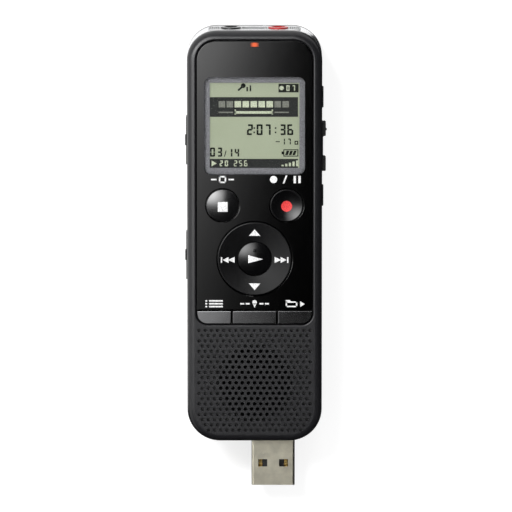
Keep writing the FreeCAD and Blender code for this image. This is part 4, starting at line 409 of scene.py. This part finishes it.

# %% [markdown]
# ## Dressing the solid parts
#
# Each part gets the finish it has on the bench.


# %% Finishes by part
FINISHES = {
    front_black: ["front_housing"],
    case_black: ["rear_housing", "battery_door"],
    piano_black: ["front_panel"],
    stop_black: ["stop_key"],
    key_black: ["record_key", "play_key", "navigation_ring", "plug_lever"],
    key_graphite: ["menu_key", "mark_key", "folder_key"],
    inner_black: [
        "rocker_plate", "hold_slider", "noise_slider", "side_switches", "battery_tray", "plug_carriage",
        "headphone_jack", "microphone_jack", "speaker_basket", "processor", "memory_chip",
        "repeat_button", "scene_button", "volume_rocker", "plug_tongue",
    ],
    band_silver: ["top_band"],
    plate_shaded_silver: ["jack_plate"],
    clear_window: ["display_window"],
    frame_grey: ["display_frame"],
    screen_green: ["display_glass"],
    white_resin: ["display_backlight", "indicator_led"],
    board_green: ["main_board", "plug_board"],
    silicone: ["key_membrane"],
    amber_lens: ["indicator_lens"],
    cell_sleeve: ["battery_left", "battery_right"],
    contact_steel: [
        "contact_bridge", "contact_positive", "contact_negative", "spring_left", "spring_right",
        "door_hinge_pin", "speaker_magnet", "microphone_capsules", "carriage_bracket", "dome_switches",
    ],
    foam_black: ["speaker_gasket", "microphone_boots"],
    speaker_film: ["speaker_cone"],
    ring_black: ["headphone_ring"],
    ring_red: ["microphone_ring"],
    plug_steel: ["plug_shell"],
    gold: ["plug_contacts"],
    screw_black: ["case_screws", "board_screws"],
}
for material, names in FINISHES.items():
    for name in names:
        nodes[name].data.materials.clear()
        nodes[name].data.materials.append(material)
print(f"{sum(len(names) for names in FINISHES.values())} of {len(nodes)} parts dressed")

# %% [markdown]
# ## Printed marks
#
# A mark is a thin film of ink that follows the face under it.  Each stroke is a patch with four
# corners, and a patch is a function of two parameters: the point at (u, v) is the blend of its
# corners.  A triangle is a patch with two corners in one place.  The height of every point then
# comes from the formula of the face, so the same code prints on a flat panel and on a domed key.


# %% Patches of ink
STEPS = 8  # squares along each side of a patch


def patch(corners):
    """Points (u, v) of a four-cornered patch: (1-u)(1-v) A + u (1-v) B + u v C + (1-u) v D."""
    u, v = np.meshgrid(np.linspace(0, 1, STEPS + 1), np.linspace(0, 1, STEPS + 1), indexing="ij")
    a, b, c, d = (np.array(corner, float)[:, None, None] for corner in corners)
    return (1 - u) * (1 - v) * a + u * (1 - v) * b + u * v * c + (1 - u) * v * d


def disc(x, y, radius, squash=1.0):
    """A disc as a patch: a square (s, t) drawn in so that its edge becomes a circle."""
    s, t = np.meshgrid(np.linspace(-1, 1, STEPS + 1), np.linspace(-1, 1, STEPS + 1), indexing="ij")
    return np.array([
        x + radius * s * np.sqrt(1 - t**2 / 2),
        y + radius * squash * t * np.sqrt(1 - s**2 / 2),
    ])


def bar(x0, y0, x1, y1):
    """A rectangle between two corners."""
    return patch([(x0, y0), (x1, y0), (x1, y1), (x0, y1)])


def triangle(a, b, c):
    return patch([a, b, c, c])


def print_marks(name, patches, face, body, material, lift_mm=0.012, film_mm=0.02):
    """Lays patches, in millimetres, on a face z = face(x, y), as a thin film that rides on a body."""
    points, quads, first = [], [], 0
    row = STEPS + 1
    i, j = np.meshgrid(np.arange(STEPS), np.arange(STEPS), indexing="ij")
    corner = (i * row + j).ravel()
    squares = np.stack([corner, corner + row, corner + row + 1, corner + 1], axis=1)
    for x, y in patches:
        x, y = x * mm, y * mm
        points.append(np.stack([x, y, face(x, y) + lift_mm * mm], axis=-1).reshape(-1, 3))
        quads.append(squares + first)
        first += row * row
    mesh = bpy.data.meshes.new(name)
    mesh.from_pydata(np.concatenate(points).tolist(), [], np.concatenate(quads).tolist())
    made = bpy.data.objects.new(name, mesh)
    bpy.context.scene.collection.objects.link(made)
    face_up(made)
    film = made.modifiers.new("film", "SOLIDIFY")
    film.thickness = film_mm * mm
    mesh.materials.append(material)
    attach(made, body)
    return made


def face_up(piece):
    """Merges the doubled corners of folded patches and turns every face towards +Z."""
    work = bmesh.new()
    work.from_mesh(piece.data)
    bmesh.ops.remove_doubles(work, verts=work.verts, dist=1e-7)
    bmesh.ops.dissolve_degenerate(work, edges=work.edges, dist=1e-7)
    downward = [f for f in work.faces if f.normal.z < 0]
    bmesh.ops.reverse_faces(work, faces=downward)
    work.to_mesh(piece.data)
    work.free()


def flat(z):
    """A level face."""
    return lambda x, y: np.full_like(x, z)


def middle(name):
    low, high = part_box(name)
    return (low + high) / 2


print("patches ready")

# %% [markdown]
# ## Faces of the keys
#
# The stop and play keys are slices of a ball, the record key is a hollow slice of a ball, and the
# ring falls in a straight cone towards its middle.  For a ball of radius R whose top is at height T
# over the centre, the face at distance r is T - R + sqrt(R^2 - r^2).  The hollow key turns the sign.


# %% Key faces
panel_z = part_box("front_panel")[1].z
crown_above = {"stop_key": 0.8 * mm, "play_key": 0.75 * mm}


def ball_face(name, radius_mm):
    """Face of a domed key."""
    centre, radius = middle(name), radius_mm * mm
    top = panel_z + crown_above[name]
    return lambda x, y: top - radius + np.sqrt(radius**2 - (x - centre.x) ** 2 - (y - centre.y) ** 2)


def dish_face(name, radius_mm, floor_mm):
    """Face of a hollow key."""
    centre, radius = middle(name), radius_mm * mm
    low = panel_z - floor_mm * mm
    return lambda x, y: low + radius - np.sqrt(radius**2 - (x - centre.x) ** 2 - (y - centre.y) ** 2)


def cone_face(name, inner_mm, outer_mm, fall_mm):
    """Face of the ring: straight between its hole and its outer edge."""
    centre, high = middle(name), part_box(name)[1].z
    inner, outer, fall = inner_mm * mm, outer_mm * mm, fall_mm * mm
    return lambda x, y: high - fall * (outer - np.hypot(x - centre.x, y - centre.y)) / (outer - inner)


stop_face = ball_face("stop_key", 17.0)
play_face = ball_face("play_key", 15.0)
record_face = dish_face("record_key", 14.0, 0.2)
ring_face = cone_face("navigation_ring", 4.85, 9.85, 0.3)
print("key faces ready")

# %% [markdown]
# ## Marks on the keys and on the panel
#
# These are the transport signs that every recorder carries: a square to stop, a dot to record, a
# triangle to play, double triangles to skip, and arrows up and down.  The panel's own labels are
# signs of the same kind: dot and pause bars over the record key, and lines, a marker and a folder
# over the row of small keys.

# %% Key marks
x, y = middle("stop_key").x / mm, middle("stop_key").y / mm
stop_sign = [bar(x - 1.3, y - 1.65, x + 1.4, y + 1.05)]
print_marks("stop_sign", stop_sign, stop_face, "stop_key", ink_white)

x, y = middle("record_key").x / mm, middle("record_key").y / mm
print_marks("record_sign", [disc(x, y - 0.25, 1.5)], record_face, "record_key", ink_red)

x, y = middle("play_key").x / mm, middle("play_key").y / mm
play_sign = [triangle((x - 1.75, y + 1.1), (x - 1.75, y - 1.15), (x + 2.3, y - 0.05))]
print_marks("play_sign", play_sign, play_face, "play_key", ink_white)

ring_signs = [
    triangle((x - 1.56, y + 6.4), (x + 1.56, y + 6.4), (x, y + 8.2)),
    triangle((x - 1.56, y - 6.85), (x + 1.56, y - 6.85), (x, y - 8.7)),
]
for side in (-1, 1):
    row = y - 0.3
    ring_signs += [
        bar(x + side * 9.1 - 0.18, row - 0.8, x + side * 9.1 + 0.18, row + 0.8),
        triangle((x + side * 7.15, row - 0.82), (x + side * 7.15, row + 0.82), (x + side * 8.8, row)),
        triangle((x + side * 5.5, row - 0.82), (x + side * 5.5, row + 0.82), (x + side * 7.35, row)),
    ]
print_marks("ring_signs", ring_signs, ring_face, "navigation_ring", ink_white)

# %% [markdown]
# The labels on the panel are flat.  A folder is an outline, so it is four bars and a tab; the
# marker is a small pin; the menu is three lines.

# %% Panel labels
on_panel = flat(panel_z)


def frame_of_bars(x0, y0, x1, y1, line):
    """A hollow rectangle from four bars."""
    return [
        bar(x0, y0, x1, y0 + line),
        bar(x0, y1 - line, x1, y1),
        bar(x0, y0, x0 + line, y1),
        bar(x1 - line, y0, x1, y1),
    ]


stop_x, record_x = middle("stop_key").x / mm, middle("record_key").x / mm
label_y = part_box("stop_key")[1].y / mm + 1.75
labels = frame_of_bars(stop_x - 1.0, label_y - 1.0, stop_x + 1.0, label_y + 1.0, 0.42)
labels += [bar(stop_x + at - 0.75, label_y - 0.2, stop_x + at + 0.75, label_y + 0.2) for at in (-2.4, 2.4)]
labels += [
    disc(record_x - 3.6, label_y, 1.0),
    patch([(record_x - 1.1, label_y - 1.1), (record_x - 0.65, label_y - 1.1),
           (record_x + 0.2, label_y + 1.1), (record_x - 0.25, label_y + 1.1)]),
    bar(record_x + 1.9, label_y - 1.0, record_x + 2.55, label_y + 1.0),
    bar(record_x + 3.2, label_y - 1.0, record_x + 3.85, label_y + 1.0),
]
row_label_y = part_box("front_panel")[0].y / mm + 1.75
menu_x, mark_x, folder_x = (middle(name).x / mm for name in ("menu_key", "mark_key", "folder_key"))
for dy in (-0.8, 0.0, 0.8):
    at = row_label_y + dy
    labels.append(bar(menu_x - 2.4, at - 0.2, menu_x - 1.9, at + 0.2))
    labels.append(bar(menu_x - 1.4, at - 0.2, menu_x + 2.4, at + 0.2))
labels += [
    disc(mark_x, row_label_y + 0.4, 0.62),
    triangle((mark_x - 0.55, row_label_y + 0.1), (mark_x + 0.55, row_label_y + 0.1),
             (mark_x, row_label_y - 1.1)),
]
for at in (-3.4, -1.9, 1.9, 3.4):
    labels.append(bar(mark_x + at - 0.55, row_label_y - 0.2, mark_x + at + 0.55, row_label_y + 0.2))
labels += frame_of_bars(folder_x - 2.6, row_label_y - 0.95, folder_x + 0.6, row_label_y + 0.65, 0.36)
labels += [
    bar(folder_x - 2.6, row_label_y + 0.6, folder_x - 1.3, row_label_y + 1.0),
    triangle((folder_x + 1.4, row_label_y - 0.9), (folder_x + 1.4, row_label_y + 0.7),
             (folder_x + 2.7, row_label_y - 0.1)),
]
print_marks("panel_labels", labels, on_panel, "case", ink_white)
print("labels on the panel:", len(labels), "patches")

# %% [markdown]
# ## What the display shows
#
# The display shows a recording in progress: a level meter in a dark band, a running time in seven
# segment digits, the number of the track, a battery, and a dark line at the foot.  A seven segment
# digit is a list of which of its seven bars are lit, and each bar is a patch with slanted ends, so
# digits of any size come from one function.

# %% Digits
SEGMENT_GAP = 0.06  # millimetres between neighbouring bars
LIT = {
    "0": "abcdef", "1": "bc", "2": "abged", "3": "abgcd", "4": "fgbc",
    "5": "afgcd", "6": "afgedc", "7": "abc", "8": "abcdefg", "9": "abcdfg", "-": "g",
}


def digit(letter, x, y, height, thick):
    """The lit bars of a seven segment digit that stands at (x, y)."""
    width, half, t, gap = height * 0.55, height / 2, thick, SEGMENT_GAP
    level = {"a": height - t, "g": half - t / 2, "d": 0.0}
    upright = {"f": (0.0, half), "b": (width - t, half), "e": (0.0, 0.0), "c": (width - t, 0.0)}
    bars = []
    for name in LIT[letter]:
        if name in level:
            dy = y + level[name]
            bars.append(bar(x + t * 0.5 + gap, dy, x + width - t * 0.5 - gap, dy + t))
        else:
            dx, dy = upright[name]
            bars.append(bar(x + dx, y + dy + gap, x + dx + t, y + dy + half - gap))
    return bars


def number(text, x, y, height, thick, pitch=0.78):
    """A number from left to right; a colon is two dots, and a slash is one slanted bar."""
    bars = []
    for letter in text:
        if letter == ":":
            dot = height * 0.07
            bars += [bar(x, y + height * at - dot, x + 2 * dot, y + height * at + dot) for at in (0.3, 0.7)]
            x += height * 0.34
        elif letter == "/":
            bars.append(patch([(x, y), (x + thick, y), (x + height * 0.42, y + height),
                               (x + height * 0.42 - thick, y + height)]))
            x += height * 0.62
        else:
            bars += digit(letter, x, y, height, thick)
            x += height * pitch
    return bars


print("seven segments:", sorted(LIT))

# %% [markdown]
# The screen's layout is measured from its own edges, so it follows the display cell.  Dark pixels
# lie on the cell, and light ones lie a hair higher, over the dark bands.

# %% Picture on the screen
low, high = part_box("display_glass")
border = 0.6
left, right = low.x / mm + border, high.x / mm - border
foot, head = low.y / mm + border, high.y / mm - border
on_glass = flat(high.z)
wide, tall = right - left, head - foot

band_top, band_low = head - 0.170 * tall, head - 0.401 * tall
line_top = foot + 0.106 * tall
edge = right - 0.4
bands = [bar(left, band_low, edge, band_top), bar(left, foot, edge, line_top)]
print_marks("screen_bands", bands, on_glass, "case", pixel_band, lift_mm=0.02)

# microphone with two level bars, and a dark box for the recording sign
mic_x, mic_y = left + 9.2, head - 0.85
dark = [
    disc(mic_x, mic_y, 0.66),
    patch([(mic_x - 1.6, mic_y - 1.2), (mic_x - 1.25, mic_y - 1.5),
           (mic_x - 0.1, mic_y - 0.5), (mic_x - 0.5, mic_y - 0.1)]),
    bar(mic_x + 0.85, mic_y - 1.55, mic_x + 1.3, mic_y - 0.35),
    bar(mic_x + 1.75, mic_y - 1.55, mic_x + 2.15, mic_y + 0.1),
    bar(right - 5.75, head - 2.7, right - 0.25, head - 0.35),
]
time_y, time_tall = foot + 0.385 * tall, 3.0
dark += number("2", right - 14.4, time_y, time_tall, 0.5)
dark += number("07", right - 11.75, time_y, time_tall, 0.5, pitch=0.74)
dark += number("36", right - 5.45, time_y, time_tall, 0.5, pitch=0.7)
for colon_x in (right - 12.6, right - 6.75):
    dark += [bar(colon_x, time_y + dy, colon_x + 0.42, time_y + dy + 0.42) for dy in (0.55, 1.75)]
dark += [bar(right - 6.5, foot + 7.15, right - 5.4, foot + 7.4)]
dark += number("17", right - 4.9, foot + 6.45, 1.7, 0.3, pitch=0.95)
dark += frame_of_bars(right - 1.35, foot + 6.45, right - 0.35, foot + 7.5, 0.28)
dark += number("03", left + 0.05, foot + 3.1, 2.55, 0.46, pitch=0.76)
dark += number("/", left + 3.9, foot + 3.1, 1.7, 0.24)
dark += number("14", left + 5.0, foot + 3.1, 2.2, 0.42, pitch=0.84)

# battery with three slanted bars
battery_x, battery_y = right - 4.4, foot + 3.15
dark += frame_of_bars(battery_x, battery_y, battery_x + 4.1, battery_y + 2.0, 0.24)
dark += [bar(battery_x - 0.5, battery_y + 0.6, battery_x, battery_y + 1.4)]
dark += [
    patch([(battery_x + at, battery_y + 0.4), (battery_x + at + 0.75, battery_y + 0.4),
           (battery_x + at + 1.2, battery_y + 1.6), (battery_x + at + 0.45, battery_y + 1.6)])
    for at in (0.45, 1.45, 2.45)
]
print_marks("screen_dark", dark, on_glass, "case", pixel_dark, lift_mm=0.03)

# level meter: nine squares over a rail, the middle five lit
band = band_top - band_low
step, square = 2.185, 1.78
meter = [left + 2.45 + n * step for n in range(9)]
squares = [bar(at, band_low + 0.48 * band, at + square, band_low + 0.8 * band) for at in meter]
rail_y, rail_left, rail_right = band_low + 0.225 * band, meter[2], meter[6] + square
light = squares[2:7] + [bar(rail_left, rail_y - 0.35, rail_right, rail_y + 0.35)]
light += [bar(at, rail_y - 0.6, at + 0.35, rail_y + 0.8) for at in (rail_left, rail_right - 0.35)]
dim = squares[:2] + squares[7:] + [
    bar(meter[0], rail_y - 0.15, meter[1] + square, rail_y + 0.2),
    bar(meter[7], rail_y - 0.15, meter[8] + square, rail_y + 0.2),
]
line_y = foot + 0.45
light += [triangle((left + 0.5, line_y), (left + 0.5, line_y + 1.6), (left + 1.9, line_y + 0.8))]
light += number("20", left + 2.7, line_y, 1.65, 0.32, pitch=0.85)
light += number("256", left + 6.6, line_y, 1.65, 0.24, pitch=0.85)
for n in range(5):
    at = right - 4.9 + n
    light.append(bar(at, line_y, at + 0.6, line_y + 0.4 + 0.3 * n))
light += [disc(right - 4.9, head - 1.5, 0.6)]
light += number("07", right - 3.6, head - 2.3, 1.6, 0.3, pitch=0.95)
print_marks("screen_light", light, on_glass, "case", pixel_light, lift_mm=0.055)
print_marks("screen_dim", dim, on_glass, "case", pixel_mid, lift_mm=0.055)
print(f"screen {wide:.1f} by {tall:.1f} mm: {len(dark)} dark and {len(light)} light patches")

# %% [markdown]
# ## Floor, light and camera
#
# The recorder lies on a white sweep.  The floor is an ordinary pale surface that takes a soft
# shadow, with a little light of its own towards the camera so that it reads as white.  It is
# one-sided: from below it is clear, so that the back of the recorder can be looked at, with the
# battery door open or shut.  It lies a hair under the recorder, so no two faces share a plane.


# %% Stage
def stage_sheets(name, sheets):
    """Flat sheets from their corners, as one piece of the stage."""
    mesh = bpy.data.meshes.new(name)
    corners = [corner for sheet in sheets for corner in sheet]
    mesh.from_pydata(corners, [], [tuple(range(n, n + 4)) for n in range(0, len(corners), 4)])
    made = bpy.data.objects.new(name, mesh)
    bpy.context.scene.collection.objects.link(made)
    return made


def level_sheet(name, half, z):
    """A square that lies level about the middle of the stage."""
    return stage_sheets(name, [[(-half, -half, z), (half, -half, z), (half, half, z), (-half, half, z)]])


def light_paths(tree, *names):
    """1 for rays of the named kinds, 0 for others."""
    paths = tree.nodes.new("ShaderNodeLightPath")
    total = paths.outputs[names[0]]
    for name in names[1:]:
        either = tree.nodes.new("ShaderNodeMath")
        either.operation = "MAXIMUM"
        tree.links.new(total, either.inputs[0])
        tree.links.new(paths.outputs[name], either.inputs[1])
        total = either.outputs[0]
    return total


floor = level_sheet("floor", 6.0, -0.02 * mm)
floor_paint = Finish("floor_paint", (0.45, 0.45, 0.45), 0.7)
floor_paint.set(**{"Specular IOR Level": 0.0, "Emission Color": (1, 1, 1, 1)})
tree = floor_paint.tree
seen = light_paths(tree, "Is Camera Ray", "Is Glossy Ray", "Is Transmission Ray")
floor_paint.link(floor_paint.between(seen, 0.0, 0.72), "Emission Strength")
one_sided = tree.nodes.new("ShaderNodeMixShader")
floor_paint.link(tree.nodes.new("ShaderNodeNewGeometry").outputs["Backfacing"], one_sided.inputs["Fac"])
floor_paint.link(floor_paint.shader.outputs["BSDF"], one_sided.inputs[1])
floor_paint.link(tree.nodes.new("ShaderNodeBsdfTransparent").outputs["BSDF"], one_sided.inputs[2])
floor_paint.link(one_sided.outputs["Shader"], tree.nodes["Material Output"].inputs["Surface"])
floor.data.materials.append(floor_paint.material)

world = bpy.data.worlds.new("studio")
world.use_nodes = True
bpy.context.scene.world = world
background = world.node_tree.nodes["Background"]
strength = world.node_tree.nodes.new("ShaderNodeMapRange")
strength.inputs["To Min"].default_value = 0.42
strength.inputs["To Max"].default_value = 1.0
seen = light_paths(world.node_tree, "Is Camera Ray", "Is Glossy Ray", "Is Transmission Ray")
world.node_tree.links.new(seen, strength.inputs["Value"])
world.node_tree.links.new(strength.outputs["Result"], background.inputs["Strength"])
background.inputs["Color"].default_value = (1, 1, 1, 1)
print("white floor and white room")

# %% [markdown]
# Gloss black shows whatever stands opposite it.  A canopy hangs over the recorder for reflections
# alone: the camera, the shadows and the dull surfaces don't see it.  With X and Y in metres on the
# canopy, its glow is min(3.6, 3.75 exp(16 Y)), which dies away at the far end.  That is multiplied by
# a fall of light along X: with e = (0.020 + 0.12 Y - X) / 0.037 kept between 0 and 1, it is e to the
# power 1.8, so the canopy is black to the right of a slanted edge.  A softbox shines at its upper
# left.  Black flags stand to the right and beyond the foot, and black cards lie on the floor there.

# %% Canopy for the reflections
CANOPY_HEIGHT = 0.55
GLOW_MOST, GLOW_MIDDLE, GLOW_GROWTH = 3.6, 3.75, 16.0
EDGE_AT, EDGE_SLANT, EDGE_WIDTH, EDGE_POWER = 0.020, 0.12, 0.037, 1.8
SOFTBOX_AT, SOFTBOX_REACH, SOFTBOX_GLOW = (-0.25, 0.20, CANOPY_HEIGHT), 0.30, 10.0
canopy = level_sheet("canopy", 0.8, CANOPY_HEIGHT)
canopy_paint = Finish("canopy_paint", (0.0, 0.0, 0.0), 1.0)
canopy_paint.set(**{"Specular IOR Level": 0.0, "Emission Color": (1, 1, 1, 1)})
tree = canopy_paint.tree
split = tree.nodes.new("ShaderNodeSeparateXYZ")
canopy_paint.link(canopy_paint.place, split.inputs["Vector"])
across, along = split.outputs["X"], split.outputs["Y"]
growth = compute(tree, "EXPONENT", compute(tree, "MULTIPLY", along, GLOW_GROWTH))
capped = compute(tree, "MINIMUM", compute(tree, "MULTIPLY", growth, GLOW_MIDDLE), GLOW_MOST)
level = compute(tree, "MULTIPLY", capped, canopy_paint.fade(along, 0.12, 0.30, 1.0, 0.05))
edge_at = compute(tree, "ADD", compute(tree, "MULTIPLY", along, EDGE_SLANT), EDGE_AT)
into_light = compute(tree, "DIVIDE", compute(tree, "SUBTRACT", edge_at, across), EDGE_WIDTH, clamp=True)
lit = compute(tree, "MULTIPLY", level, compute(tree, "POWER", into_light, EDGE_POWER))
softbox = canopy_paint.fade(canopy_paint.distance(SOFTBOX_AT), 0.0, SOFTBOX_REACH, SOFTBOX_GLOW)
canopy_paint.link(compute(tree, "ADD", lit, softbox), "Emission Strength")
canopy.data.materials.append(canopy_paint.material)

FLAG, CARD_Z = 0.8, 0.4 * mm
flags = stage_sheets("flags", [
    [(FLAG, -FLAG, 0), (FLAG, FLAG, 0), (FLAG, FLAG, CANOPY_HEIGHT), (FLAG, -FLAG, CANOPY_HEIGHT)],
    [(-FLAG, -FLAG, 0), (FLAG, -FLAG, 0), (FLAG, -FLAG, CANOPY_HEIGHT), (-FLAG, -FLAG, CANOPY_HEIGHT)],
    [(0.017, -0.046, CARD_Z), (FLAG, -0.046, CARD_Z), (FLAG, 0.09, CARD_Z), (0.017, 0.09, CARD_Z)],
    [(-0.3, -FLAG, CARD_Z), (FLAG, -FLAG, CARD_Z), (FLAG, -0.046, CARD_Z), (-0.3, -0.046, CARD_Z)],
])
flag_paint = Finish("flag_paint", (0.0, 0.0, 0.0), 1.0)
flag_paint.set(**{"Specular IOR Level": 0.0})
flags.data.materials.append(flag_paint.material)
for piece in (canopy, flags):
    for way in ("camera", "diffuse", "transmission", "shadow"):
        setattr(piece, f"visible_{way}", False)
print("canopy at", CANOPY_HEIGHT, "m, with flags on two sides")

# %% [markdown]
# Three square soft lamps light the dull surfaces and throw the soft shadow to the lower right.
# They are hidden from gloss, so that the panel and the keys mirror the canopy alone.


# %% Lamps
def lamp(name, place, size, watts):
    """A square soft light aimed at the recorder, hidden from the camera."""
    data = bpy.data.lights.new(name, "AREA")
    data.shape, data.size, data.energy = "SQUARE", size, watts
    made = bpy.data.objects.new(name, data)
    made.location = place
    made.rotation_euler = (Vector((0, 0, 0)) - Vector(place)).to_track_quat("-Z", "Y").to_euler()
    made.visible_camera = False
    made.visible_glossy = False
    bpy.context.scene.collection.objects.link(made)
    return made


lamp("key_light", (-0.55, 0.75, 1.1), 0.45, 16)
lamp("fill_light", (0.9, -0.5, 1.0), 0.6, 5)
lamp("far_light", (0.1, 1.4, 0.5), 0.5, 5)
print("three lamps")

# %% [markdown]
# The camera looks almost straight down, leaning a little towards the jacks, through a long lens
# from a metre and a half away, so the case keeps its parallel sides.

# %% Camera
LEAN = math.radians(9.0)
DISTANCE = 1.6
aim = Vector((0.386 * mm, 1.9 * mm, panel_z))
camera_data = bpy.data.cameras.new("camera")
camera_data.lens = 409.2
camera = bpy.data.objects.new("camera", camera_data)
camera.location = aim + DISTANCE * Vector((0, math.sin(LEAN), math.cos(LEAN)))
camera.rotation_euler = (-LEAN, 0, 0)
camera_data.clip_end = 50
bpy.context.scene.collection.objects.link(camera)
bpy.context.scene.camera = camera
bpy.context.scene.view_settings.view_transform = "Standard"
print("camera", tuple(round(value, 3) for value in camera.location))
